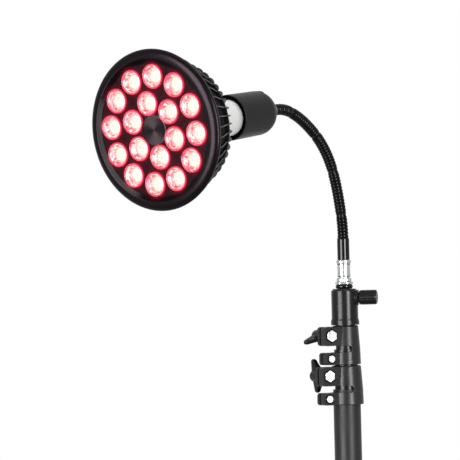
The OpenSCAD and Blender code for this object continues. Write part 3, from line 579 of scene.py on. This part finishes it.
def fin(angle, rows=31, thick=(1.6, 1.0)):
    """Low blade from its root in the bowl to its edge, where its two sides close in a half round."""
    t = np.linspace(0, 1, rows)
    edge = bowl_line(t, (60, 5.75), (50.5, 26), (26.5, SINK_END - 1.5))
    root = bowl_line(t, (57.2, 5.75), (47.6, 25.5), (25.2, SINK_END - 4.2))
    reach = np.linalg.norm(edge - root, axis=1)[:, None]
    half = thick[1] / 2
    a = np.radians([-90, -60, -30, 0, 30, 60, 90])
    tip = np.minimum(half * (1 - np.cos(a)), reach)
    inwards = np.concatenate([reach, reach / 2, tip, reach / 2, reach], 1)
    flank = 0.6 * thick[0] / 2 + 0.4 * half
    across = np.concatenate([[-thick[0] / 2, -flank], half * np.sin(a), [flank, thick[0] / 2]])
    way = (root - edge) / reach
    p = edge[:, None, :] + way[:, None, :] * inwards[:, :, None]
    blade = np.stack([p[..., 0], np.broadcast_to(across, p.shape[:2]), FACE_Z - p[..., 1]], -1)
    return skin(on_lamp(spun(blade, angle)), wrap_rows=False, capped=True)


def sink_body():
    """Casting under the fins: flange, floor plate and closed bowl in one turned profile."""
    t = np.linspace(0, 1, 25)
    outside = bowl_line(t, (58.2, 5.6), (48.6, 25.8), (26.2, SINK_END - 3.2))
    inside = bowl_line(t, (49.5, 20.5), (43.6, 26), (22.6, SINK_END - 8.9))[::-1]
    front = [(3, 17), (51.5, 17), (51.5, 9.2), (57, 9.2), (57, 5.45), (57.15, 5.3), (58.0, 5.3)]
    ends = [(26.2, SINK_END - 0.3), (25.9, SINK_END), (22.9, SINK_END), (22.6, SINK_END - 0.3)]
    return skin(on_lamp(turned(deep(np.concatenate([front, outside, ends, inside, [(3, 20.5)]])), 144)))


def heat_sink_crown():
    """Heat sink: its bowl, the fins round it and the bare turned rim behind the bezel."""
    piece("heat_sink_bowl", [sink_body()], BOWL_BLACK, "bulb", ["heat_sink"], crease=50)
    fins = [fin(2 * math.pi * k / FINS + FIN_PHASE) for k in range(FINS)]
    piece("heat_sink_fins", fins, FIN_BLACK, "bulb", crease=50)
    rim = rounded(deep([(57.6, 5.3), (60.3, 5.3), (60.3, 5.9), (57.6, 5.9)]), 0.16)
    piece("sink_rim", [skin(on_lamp(turned(rim, 192)))], EDGE_BARE, "bulb")


def lens_centres():
    """Twelve lenses on the outer ring and six on the inner one, each ring with its own start."""
    rings = []
    for ring_r, step, start in LENS_RINGS:
        a = np.radians(start + step * np.arange(360 // step))
        rings.append(np.stack([ring_r * np.cos(a), ring_r * np.sin(a)], -1))
    return np.concatenate(rings)


def facet_colours(row):
    """Colour of each facet of one lens by its row: white-hot, then pink, then red, broken up by chance."""
    core, pink, red = np.array([1.0, 0.94, 0.74]), np.array([1.0, 0.28, 0.38]), np.array([1.0, 0.012, 0.08])
    lot = rng.random(len(row))
    white = np.select([row < 2, row < 3, row < 4, row < 7, row < 8],
                      [1.0, 0.85 + 0.15 * lot, 0.68 + 0.32 * lot, 0.25 + 0.75 * lot, 0.25 * lot],
                      0.0)[:, None]
    tint = np.where(white > 0.5, pink + (core - pink) * (white - 0.5) * 2, red + (pink - red) * white * 2)
    power = np.select([row < 2, row < 3, row < 4, row < 7, row < 10, row < 12],
                      [1.35, 1.25, 1.05, 0.75 + 0.75 * lot, 0.95, 0.8], 0.5)[:, None]
    return tint * power


def lens_cups():
    """Lit lenses: a red side wall and rim, a faceted cup inside and a white-hot core at its bottom.

    Rings of 22 points at the listed (radius, depth), every second ring turned by half a step;
    each facet has its own brightness.
    """
    rings = np.array([(0, 4.6), (2.6, 4.7), (4.5, 5.1), (5.2, 5.5), (6.1, 4.8), (6.8, 3.7), (7.5, 2.7),
                      (8.1, 1.7), (8.7, 1.05), (9.1, 1.0), (9.35, 1.25), (LENS_R, 1.6), (LENS_R, 3.7),
                      (8.8, 6.5), (0, 7.5)])
    sides, crease = 22, 12
    n = len(rings)
    a = (np.arange(sides)[None, :] + 0.5 * (np.arange(n)[:, None] % 2)) * 2 * math.pi / sides
    r = rings[:, 0][:, None]
    shape = np.stack([r * np.cos(a), r * np.sin(a), FACE_Z - rings[:, 1][:, None] + 0 * a], -1)
    row = np.repeat(np.arange(n - 1), sides)
    shells, colours = [], []
    for x, y in lens_centres():
        shells.append(skin(on_lamp(shape + np.array([x, y, 0])), wrap_rows=False))
        colours.append(facet_colours(row))
    obj = piece("lens_cups", shells, glow_coat("lens_glow", 1.0), "bulb", ["lenses"],
                crease=crease)
    colours = np.concatenate(colours)
    mesh = obj.data
    layer = mesh.color_attributes.new("glow", "FLOAT_COLOR", "CORNER")
    loops = np.repeat(np.concatenate([colours, np.ones((len(colours), 1))], 1), 4, axis=0)
    layer.data.foreach_set("color", loops.astype(np.float32).ravel())
    bm = bmesh.new()
    bm.from_mesh(mesh)
    bmesh.ops.remove_doubles(bm, verts=bm.verts, dist=1e-7)
    bm.to_mesh(mesh)
    bm.free()
    mesh.set_sharp_from_angle(angle=math.radians(crease))


def centre_disc():
    """Turned disc in the middle of the plate: slightly dished, with its map running round and out."""
    r = np.array([0.01, 1.5, 3, 5, 7, 9, 10.8, 11.4, 11.6, 11.6, 0.01])
    z = np.array([0.38, 0.36, 0.33, 0.31, 0.31, 0.34, 0.4, 0.36, 0.2, -0.2, -0.2])
    sides = 96
    grid = turned(np.stack([r, FACE_Z - PLATE_TOP + z], -1), sides)
    obj = piece("centre_disc", [skin(on_lamp(grid), wrap_rows=False, capped=True)], brushed_coat(), "bulb")
    index = np.arange(len(obj.data.vertices))
    row, column = index // sides, index % sides
    add_map(obj.data, "turning", np.stack([column / sides, r[row] / 12.0], -1))


def bulb_neck_white():
    """White neck: a plain barrel at the cap that flares to the fins along half a cosine."""
    base, foot, back, flare_z = 55.5, 50.2, FACE_Z - SINK_END, 67.5
    t = np.linspace(0, 1, 24)
    flare = np.stack([13.9 + (26 - 13.9) * (1 - np.cos(math.pi * t)) / 2, flare_z + (back - flare_z) * t], -1)
    inside = flare[::-2] - np.array([3.0, 0])
    inside[:, 0] = np.minimum(inside[:, 0], 20.4)
    collar = [(12.0, foot), (12.0, base), (13.6, base), (13.9, base + 0.3)]
    seat = [(22.4, back), (22.4, back + 5), (20.4, back + 5)]
    profile = np.concatenate([collar, flare, seat, inside, [(10.2, base), (10.2, foot)]])
    piece("bulb_neck_white", [skin(on_lamp(turned(profile, 128)))], NECK_WHITE, "bulb",
          ["bulb_neck"])


# Holder

def shell_profile(d):
    """Holder outline moved inwards by d: a quarter ellipse dome, then a wall that opens slightly."""
    a = np.radians(np.linspace(73, 0, 26))
    dome = np.stack([(DOME_R - d) * np.cos(a), DOME_Z - (DOME_LEN - d) * np.sin(a)], -1)
    return np.concatenate([dome, [(17.8 - d, RIM_Z - 1.0)]])


def rounded_loop(width, length, r, steps=6):
    """Rectangle with quarter circles of radius r at its corners."""
    a = np.linspace(0, math.pi / 2, steps)
    corner = [(width / 2 - r, length / 2 - r, 0), (-width / 2 + r, length / 2 - r, 1),
              (-width / 2 + r, -length / 2 + r, 2), (width / 2 - r, -length / 2 + r, 3)]
    return np.concatenate([np.stack([x + r * np.cos(a + q * math.pi / 2),
                                     y + r * np.sin(a + q * math.pi / 2)], -1) for x, y, q in corner])


def lifted(loop, height):
    """Flat loop lifted to a height, or each of its points to a height of its own."""
    return np.column_stack([loop, np.broadcast_to(height, len(loop))])


def dome_height(loop):
    """Height of the dome under each (x, y) of the switch frame, along the switch's own axis.

    The dome is an ellipsoid, so the height is the nearer root of a quadratic on each line.
    """
    low, high = (off_lamp(on_switch(lifted(loop, z))) - np.array([0, 0, DOME_Z]) for z in (0.0, 1.0))
    k = np.array([1 / DOME_R, 1 / DOME_R, 1 / DOME_LEN])
    o, v = low * k, (high - low) * k
    a, b, q = (v * v).sum(1), (o * v).sum(1), (o * o).sum(1) - 1
    return (-b + np.sqrt(np.maximum(b * b - a * q, 0))) / a


def switch_frame():
    """Raised frame round the switch: a small rounded profile carried round a rounded rectangle."""
    steps = [(0.36, -2.2), (0.36, 0.3), (0.45, 0.5), (0.65, 0.6), (1.5, 0.6), (1.75, 0.5), (1.86, 0.25),
             (1.86, -1.0)]
    rows = []
    for grow, lift in steps:
        loop = rounded_loop(9 + 2 * grow, 11 + 2 * grow, 0.5 + grow)
        rows.append(lifted(loop, dome_height(loop) + lift))
    piece("switch_frame", [skin(on_switch(np.stack(rows)))], SHELL_SATIN, "holder",
          crease=50)


def holder_shell():
    """Domed shell with the nipple's hole and a rounded front rim; the switch opening is cut through it."""
    wall = 2.0
    rim = [(17.77, RIM_Z - 0.5), (17.68, RIM_Z - 0.15), (17.5, RIM_Z), (17.3, RIM_Z), (17.15, RIM_Z - 0.15)]
    ring_seat = [(17.1, RIM_Z - 0.9), (14.4, RIM_Z - 0.9), (14.4, RIM_Z - 2.6), (15.8, RIM_Z - 2.6)]
    profile = np.concatenate([shell_profile(0), rim, ring_seat, shell_profile(wall)[::-1]])
    obj = piece("holder_dome", [skin(on_lamp(turned(profile, 160)))], SHELL_SATIN, None,
                crease=40)
    cutter_mesh = bpy.data.meshes.new("cut")
    opening = rounded_loop(9.7, 11.7, 0.85)
    block = np.stack([lifted(opening, -6), lifted(opening, 6)])
    p, f = skin(on_switch(block), wrap_rows=False, capped=True)
    cutter_mesh.from_pydata((p * MM).tolist(), [], outward(p, f))
    cutter = bpy.data.objects.new("cut", cutter_mesh)
    scene.collection.objects.link(cutter)
    obj.modifiers.clear()
    cut = obj.modifiers.new("opening", "BOOLEAN")
    cut.object, cut.operation, cut.solver = cutter, "DIFFERENCE", "EXACT"
    bpy.context.view_layer.update()
    done = bpy.data.meshes.new_from_object(obj.evaluated_get(bpy.context.evaluated_depsgraph_get()))
    obj.modifiers.clear()
    obj.data = done
    bpy.data.objects.remove(cutter)
    finish_mesh(obj, 40)
    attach(obj, "holder")
    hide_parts("holder_shell")


def holder_front():
    """Matt black ring set into the front of the shell."""
    ring = rounded([(14.4, RIM_Z - 0.95), (17.1, RIM_Z - 0.95), (17.1, RIM_Z - 0.3), (14.4, RIM_Z - 0.3)],
                   0.2)
    piece("holder_front_ring", [skin(on_lamp(turned(ring, 128)))], BOWL_BLACK, "holder")


def nipple():
    """Tube from the hose into the shell, with its thin outer flange and the hexagon nut inside."""
    tube = rounded([(BORE_R, 5.05), (4.9, 5.05), (5.2, 5.2), (5.2, 6.4), (5.0, 6.6), (5.0, 18.5),
                    (BORE_R, 18.5)], 0.12)
    nut = hexagonal(11.95, 6.75, 4.9, [15.2, 15.2, 15.4, 17.4, 17.6, 17.6], [0, 0.2, 0, 0, 0.2, 0], 96)
    shells = [skin(on_lamp(turned(tube, 96))), skin(on_lamp(nut))]
    piece("nipple_tube", shells, NIPPLE_GREY, "holder", ["holder_nipple"])


# Neck

BALL_GAP, SOCKET_START = 0.06, 0.9
FADE_START, FADE_LEN = 0.8, 1.2


def hose(start, end, ball=False, socket=False, sides=40):
    """Ribbed hose between two stations, with one rib each pitch.

    A rib's height falls with the power 2.6 of the distance from its crest, and the ribs fade out towards
    a nodding joint. There one length ends in a dome, a sphere of the valley's radius round the joint's
    pivot, and the next has the matching socket, a little wider, and starts a little further along.
    """
    rows_per_rib, arc = 12, 9
    rows = max(3, int(round((end - start) / RIB_PITCH * rows_per_rib)) + 1)
    s = np.linspace(start + SOCKET_START * socket, end, rows)
    x = (s / RIB_PITCH) % 1 - 0.5
    rib = (HOSE_R - VALLEY_R) * (1 - np.abs(2 * x) ** 2.6)
    for joint in [start] * socket + [end] * ball:
        rib *= np.clip((np.abs(s - joint) - FADE_START) / FADE_LEN, 0, 1)
    r, base = VALLEY_R + rib, s
    if ball:
        a = np.linspace(0.08, math.acos(BORE_R / VALLEY_R), arc)
        s, r = np.concatenate([s, end + VALLEY_R * np.sin(a)]), np.concatenate([r, VALLEY_R * np.cos(a)])
        base = np.concatenate([base, np.full(arc, end)])
    if socket:
        wide = VALLEY_R + BALL_GAP
        a = np.linspace(math.acos(BORE_R / wide), math.asin(SOCKET_START / wide), arc)
        inner_s, inner_r = start + wide * np.sin(a), wide * np.cos(a)
    else:
        inner_s, inner_r = np.array([start]), np.array([BORE_R])
    back = np.linspace(s[-1], inner_s[0], 12)[int(ball):-1]
    s = np.concatenate([s, back, inner_s])
    r = np.concatenate([r, np.full(len(back), BORE_R), inner_r])
    base = np.concatenate([base, back, np.full(len(inner_s), start)])
    forward, up, a = neck_line(base)
    forward, up = forward + (s - base) * np.sin(a), up + (s - base) * np.cos(a)
    q = np.arange(sides) * 2 * math.pi / sides
    y = -forward[:, None] - r[:, None] * np.cos(q) * np.cos(a)[:, None]
    z = up[:, None] - r[:, None] * np.cos(q) * np.sin(a)[:, None]
    return skin(np.stack([r[:, None] * np.sin(q), y, z], -1))


def ribbed_neck():
    """The hose in five lengths, which meet in a ball at each nodding joint and run on unbroken across the
    swaying ones.
    """
    piece("neck_hose_0", [hose(-10, STRETCH, ball=True)], HOSE_BLACK, "stem", ["gooseneck_1"],
          crease=70)
    for k in (2, 4, 6):
        length = [hose((k - 1) * STRETCH, (k + 1) * STRETCH, ball=True, socket=True)]
        solids = [f"gooseneck_{k}", f"gooseneck_{k + 1}"]
        obj = piece(f"neck_hose_{k // 2}", length, HOSE_BLACK, None, solids, crease=70)
        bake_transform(obj)
    length = [hose(7 * STRETCH, NECK_LEN + 5.3, socket=True)]
    piece("neck_hose_4", length, HOSE_BLACK, "holder", ["gooseneck_8"], crease=70)


# Fittings on the stem

def fluted(profile, depth, count, sides=144):
    """Lathe whose outer radius dips by a rounded flute at equal steps; the dip fades with the depth row."""
    grid = turned(profile, sides)
    a = np.arange(sides) * 2 * math.pi / sides
    dip = np.clip(1 - (np.abs((a * count / (2 * math.pi)) % 1 - 0.5) / 0.28) ** 2, 0, 1)
    r = np.linalg.norm(grid[..., :2], axis=-1)
    keep = 1 - np.asarray(depth)[:, None] * dip / np.maximum(r, 0.1)
    grid[..., :2] *= keep[..., None]
    return grid


def neck_sleeve():
    """Black sleeve round the foot of the hose."""
    sleeve = rounded([(2.4, -17.7), (4.9, -17.7), (4.9, -0.9), (4.45, 0.1), (4.0, 0.1), (4.0, -10.2),
                      (2.4, -10.2)], [0, 0.2, 0.5, 0.2, 0.1, 0, 0])
    piece("sleeve_lacquered", [skin(on_stem(turned(sleeve, 96)))], LACQUER, "stem",
          ["neck_sleeve"])


def chrome_barrel():
    """Barrel with its bead on top, and thin black rings at its foot and under the bead that are painted
    shade.
    """
    a = np.radians(np.linspace(-90, 90, 13))
    bead = np.stack([5.1 + 0.9 * np.cos(a), -19.2 + 1.5 * np.sin(a)], -1)
    barrel = np.concatenate([[(2.4, -32), (4.4, -32), (4.4, -30.95), (4.9, -30.9), (5.12, -30.8),
                              (5.2, -30.5), (5.2, -21.2)], bead, [(2.4, -17.7)]])
    piece("barrel_chrome", [skin(on_stem(turned(barrel, 96)))], CHROME, "stem",
          ["stud_barrel"], crease=50)
    # Painted shade: thin black rings where the barrel meets the nut and under the bead.
    shade_rings = [rounded([(4.9, z), (5.26, z), (5.26, z + 0.55), (4.9, z + 0.55)], 0.1) for z in (-31.2, -21.5)]
    piece("barrel_painted_shade_rings", [skin(on_stem(turned(shade_ring, 96))) for shade_ring in shade_rings], BOWL_BLACK, "stem")


def chrome_nut():
    """Nut with twelve flutes that run out on its round shoulder."""
    a = np.radians(np.linspace(0, 90, 8))
    shoulder = np.stack([4.9 + 1.1 * np.cos(a), -33.3 + 1.3 * np.sin(a)], -1)
    nut = np.concatenate([[(3, -35.5), (5.7, -35.5), (6.0, -35.2), (6.0, -34.2)], shoulder, [(3, -32)]])
    dips = np.concatenate([[0, 0.2, 0.28, 0.28], np.linspace(0.25, 0, 8), [0]])
    piece("nut_chrome", [skin(on_stem(fluted(nut, dips, 12)))], CHROME, "stem",
          ["stud_nut"], crease=60)


def stem_flange():
    """Thin hexagonal flange under the nut, eased along its edges."""
    levels = [-37.3, -37.3, -37.2, -37.0, -35.8, -35.6, -35.5, -35.5]
    flange = hexagonal(13.16, 7.2, 3.0, levels, [0, 0.25, 0.06, 0, 0, 0.06, 0.25, 0], 144)
    piece("flange_chrome", [skin(on_stem(flange))], CHROME, "stem", ["stud_flange"],
          crease=50)


def stem_collar():
    """Black collar with a half-round edge, and the plain shank that turns in the adapter."""
    a = np.radians(np.linspace(-80, 80, 15))
    edge = np.stack([5.5 + 1.5 * np.cos(a), -39.05 + 1.75 * np.sin(a)], -1)
    collar = np.concatenate([[(2.4, -53.4), (3.3, -53.4), (3.9, -52.8), (3.9, -40.8)], edge, [(2.4, -37.3)]])
    piece("collar_lacquered", [skin(on_stem(turned(collar, 96)))], LACQUER, "stem",
          ["stud_collar"], crease=50)


# Mast, clamps and stand

def mast_and_stand():
    """Moulded and machined parts keep their CAD shapes with eased edges."""
    for node, width, coat, body, slot in [
        ("switch_rocker", 0.35, KNOB_BLACK, "switch_rocker", "rocker_black"),
        ("adapter", 0.35, ADAPTER_BLACK, "top_mast", "fitting_black"),
        ("adapter_knob", 0.3, KNOB_BLACK, "adapter_knob", "knob_black"),
        ("cord_gland", 0.3, FOOT_RUBBER, "top_mast", "foot_rubber"),
        ("upper_bolt", 0.3, BRIGHT_ZINC, "middle_mast", "bolt_zinc"),
        ("lower_bolt", 0.3, BRIGHT_ZINC, "stand", "bolt_zinc"),
        ("upper_screw", 0.12, BRIGHT_ZINC, "middle_mast", "bolt_zinc"),
        ("lower_screw", 0.12, BRIGHT_ZINC, "stand", "bolt_zinc"),
        ("tube_plug", 0.4, DARK_MOULDED, "stand", "moulded_black"),
        ("foot_collar", 0.5, CLAMP_NYLON, "stand", "moulded_black"),
        ("leg_collar", 0.5, CLAMP_NYLON, "leg_collar", "moulded_black"),
        ("collar_knob", 0.4, KNOB_BLACK, "collar_knob", "knob_black"),
        ("brace_pins", 0.3, PIN_STEEL, "stand", "pin_steel"),
        ("leg_pins", 0.3, PIN_STEEL, "leg_collar", "pin_steel"),
        *[(f"leg_{k}", 0.8, TUBE_GREY, f"leg_{k}", "dark_steel") for k in (1, 2, 3)],
        *[(f"brace_{k}", 0.3, TUBE_GREY, f"brace_{k}", "dark_steel") for k in (1, 2, 3)],
        *[(f"foot_{k}", 0.8, FOOT_RUBBER, f"leg_{k}", "foot_rubber") for k in (1, 2, 3)],
    ]:
        eased(node, width, coat, body)
    for node, clamp, body in (("upper_clamp", UPPER_CLAMP, "middle_mast"),
                              ("lower_clamp", LOWER_CLAMP, "stand")):
        obj = eased(node, 0.35, CLAMP_NYLON, body)
        # Painted shade: faces inside the bolt and screw pockets take the near-black coat.
        obj.data.materials.append(BOWL_BLACK)
        obj.data.polygons.foreach_set("material_index", pocket_shade_faces(obj.data, *clamp))


def wing_knob(name, height, bolt_x, turn, body):
    """Wing knob: a turned hub and two blades, each a superellipse carried outwards and closed at its tip.

    The blades are deep at the hub, and their inner side rises outwards to clear the clamp as they turn.
    """
    ear_y = -4.4
    hub = rounded([(0.02, 9.4), (2.6, 9.4), (2.6, 0), (4.9, 0), (5.4, 0.6), (4.9, 11.2), (4.3, 12.4),
                   (0.02, 12.4)], [0, 0.1, 0.2, 0.3, 0.5, 0.8, 0.8, 0])
    s = np.concatenate([np.linspace(0.5, 11.4, 9), 11.6 + 2.19 * np.sin(np.linspace(0.15, 1.55, 7))])
    low = np.interp(s, [0, 5, 7, 9, 11, 13.8], [1.6, 1.8, 2.8, 5.0, 6.7, 7.9])
    high = np.interp(s, [0, 6, 13.8], [12.1, 12.1, 11.8])
    side_end = np.sqrt(np.clip(1 - (np.maximum(s - 11.6, 0) / 2.2) ** 2, 0.001, 1))
    deep_end = np.sqrt(np.clip(1 - (np.maximum(s - 12.2, 0) / 1.7) ** 2, 0.05, 1))
    wide = np.interp(s, [0, 11.6, 13.8], [3.4, 2.0, 1.9]) * side_end
    q = np.linspace(0, 2 * math.pi, 28, endpoint=False)
    side = np.sign(np.cos(q)) * np.abs(np.cos(q)) ** 0.5
    lift = np.sign(np.sin(q)) * np.abs(np.sin(q)) ** 0.5
    y = wide[:, None] * side
    z = (low + high)[:, None] / 2 + (high - low)[:, None] / 2 * deep_end[:, None] * lift
    blade = np.stack([np.broadcast_to(s[:, None], y.shape), y, z], -1)

    def on_clamp(points):
        """Points drawn along the bolt, moved to the clamp's ear and turned with it."""
        at_ear = np.stack([bolt_x + points[..., 0], ear_y - points[..., 2], BOLT_Z + points[..., 1]], -1)
        return spun(at_ear, CLAMP_TURN) + np.array([0, 0, height])

    shells = [skin(on_clamp(turned(hub, 72)))]
    for angle in (turn, turn + 180):
        shells.append(skin(on_clamp(spun(blade, math.radians(angle))), wrap_rows=False, capped=True))
    piece(name, shells, KNOB_BLACK, body, [body], crease=45)


def dress_plain_nodes():
    """CAD nodes that stay as they are get their finish in their own material slots."""
    coats = {
        "led_chips": glow_chip_coat(),
        "led_board": BOARD_WHITE,
        "driver_board": BOARD_GREEN,
        "screw_cap": CHROME,
        "cap_insulator": DARK_MOULDED,
        "socket_core": PORCELAIN,
        "thread_sleeve": BRASS,
        "contact_tongue": BRASS,
        "top_tube": TUBE_GLOSS,
        "middle_tube": TUBE_GLOSS,
        "lower_tube": TUBE_GREY,
    }
    for node, coat in coats.items():
        for place in nodes[node].material_slots:
            place.material = coat


def glow_chip_coat():
    """Light sources under the lenses: red phosphor with a faint grain."""
    coat = coat_of("chip_red", (0.6, 0.06, 0.05), (0.9, 0.16, 0.10), (0.3, 0.4), 2500)
    bsdf = coat.node_tree.nodes["Principled BSDF"]
    bsdf.inputs["Emission Color"].default_value = (1.0, 0.12, 0.10, 1)
    bsdf.inputs["Emission Strength"].default_value = 1.5
    return coat


# Studio

def floor():
    """Pale floor whose edge fades into the white background."""
    grid = np.stack(np.meshgrid(np.linspace(-3, 3, 25), np.linspace(-3, 3, 25)), -1)
    points = np.concatenate([grid, np.zeros(grid.shape[:2] + (1,))], -1)
    p, f = skin(points, wrap_rows=False, wrap_cols=False)
    mesh = bpy.data.meshes.new("floor")
    mesh.from_pydata(p.tolist(), [], f)
    coat, n, links, bsdf = new_coat("floor_pale")
    bsdf.inputs["Base Color"].default_value = (0.80, 0.80, 0.80, 1)
    bsdf.inputs["Roughness"].default_value = 0.9
    bsdf.inputs["Specular IOR Level"].default_value = 0.1
    coords = n.new("ShaderNodeTexCoord").outputs["Object"]
    away = n.new("ShaderNodeVectorMath")
    away.operation = "LENGTH"
    links.new(coords, away.inputs[0])
    fade = n.new("ShaderNodeMapRange")
    fade.interpolation_type = "SMOOTHSTEP"
    fade.inputs["From Min"].default_value, fade.inputs["From Max"].default_value = 0.7, 2.2
    links.new(away.outputs["Value"], fade.inputs["Value"])
    clear = n.new("ShaderNodeBsdfTransparent")
    mix = n.new("ShaderNodeMixShader")
    links.new(fade.outputs["Result"], mix.inputs["Fac"])
    links.new(bsdf.outputs["BSDF"], mix.inputs[1])
    links.new(clear.outputs["BSDF"], mix.inputs[2])
    links.new(mix.outputs["Shader"], n["Material Output"].inputs["Surface"])
    mesh.materials.append(coat)
    obj = bpy.data.objects.new("floor", mesh)
    scene.collection.objects.link(obj)


def soft_box(name, place, aim, width, height, power, streak=False):
    """Area light; a streak light shows in glossy surfaces and leaves the matt ones as they are."""
    light = bpy.data.lights.new(name, "AREA")
    light.shape, light.size, light.size_y = "RECTANGLE", width, height
    light.energy = power
    obj = bpy.data.objects.new(name, light)
    scene.collection.objects.link(obj)
    obj.location = place
    obj.rotation_euler = (Vector(aim) - Vector(place)).to_track_quat("-Z", "Y").to_euler()
    obj.visible_diffuse = not streak


def world():
    """White for the camera and in reflections; a slightly weaker white lights the object."""
    w = bpy.data.worlds.new("studio")
    scene.world = w
    w.use_nodes = True
    n, links = w.node_tree.nodes, w.node_tree.links
    n.clear()
    out = n.new("ShaderNodeOutputWorld")
    seen, fill = n.new("ShaderNodeBackground"), n.new("ShaderNodeBackground")
    seen.inputs["Color"].default_value = (1, 1, 1, 1)
    fill.inputs["Color"].default_value = (1, 1, 1, 1)
    fill.inputs["Strength"].default_value = 0.95
    path = n.new("ShaderNodeLightPath")
    straight = calc(n, links, "MAXIMUM", path.outputs["Is Camera Ray"], path.outputs["Is Transmission Ray"])
    white = calc(n, links, "MAXIMUM", straight, path.outputs["Is Glossy Ray"])
    mix = n.new("ShaderNodeMixShader")
    links.new(white, mix.inputs["Fac"])
    links.new(fill.outputs[0], mix.inputs[1])
    links.new(seen.outputs[0], mix.inputs[2])
    links.new(mix.outputs[0], out.inputs["Surface"])


def around(azimuth, distance, height):
    """Point at an azimuth counted from the camera's own whole degree, positive to the picture's right."""
    a = math.radians(-90 + round(CAMERA_AZ) + azimuth)
    return (distance * math.cos(a), distance * math.sin(a), height)


bezel_ring()
heat_sink_crown()
lens_plate()
lens_cups()
centre_disc()
bulb_neck_white()
holder_shell()
holder_front()
switch_frame()
nipple()
ribbed_neck()
neck_sleeve()
chrome_barrel()
chrome_nut()
stem_flange()
stem_collar()
mast_and_stand()
wing_knob("upper_wings", *UPPER_CLAMP, -24, "upper_wing_knob")
wing_knob("lower_wings", *LOWER_CLAMP, 83, "lower_wing_knob")
dress_plain_nodes()
floor()
world()
soft_box("strip_left", around(-44, 1.6, 0.75), (0, 0, 0.68), 0.90, 1.5, 108, streak=True)
soft_box("strip_right", around(31, 1.7, 0.75), (0, 0, 0.68), 0.60, 1.5, 102, streak=True)
soft_box("top_panel", (0.2, -0.2, 2.2), (0, -0.1, 0.6), 1.2, 1.2, 6)
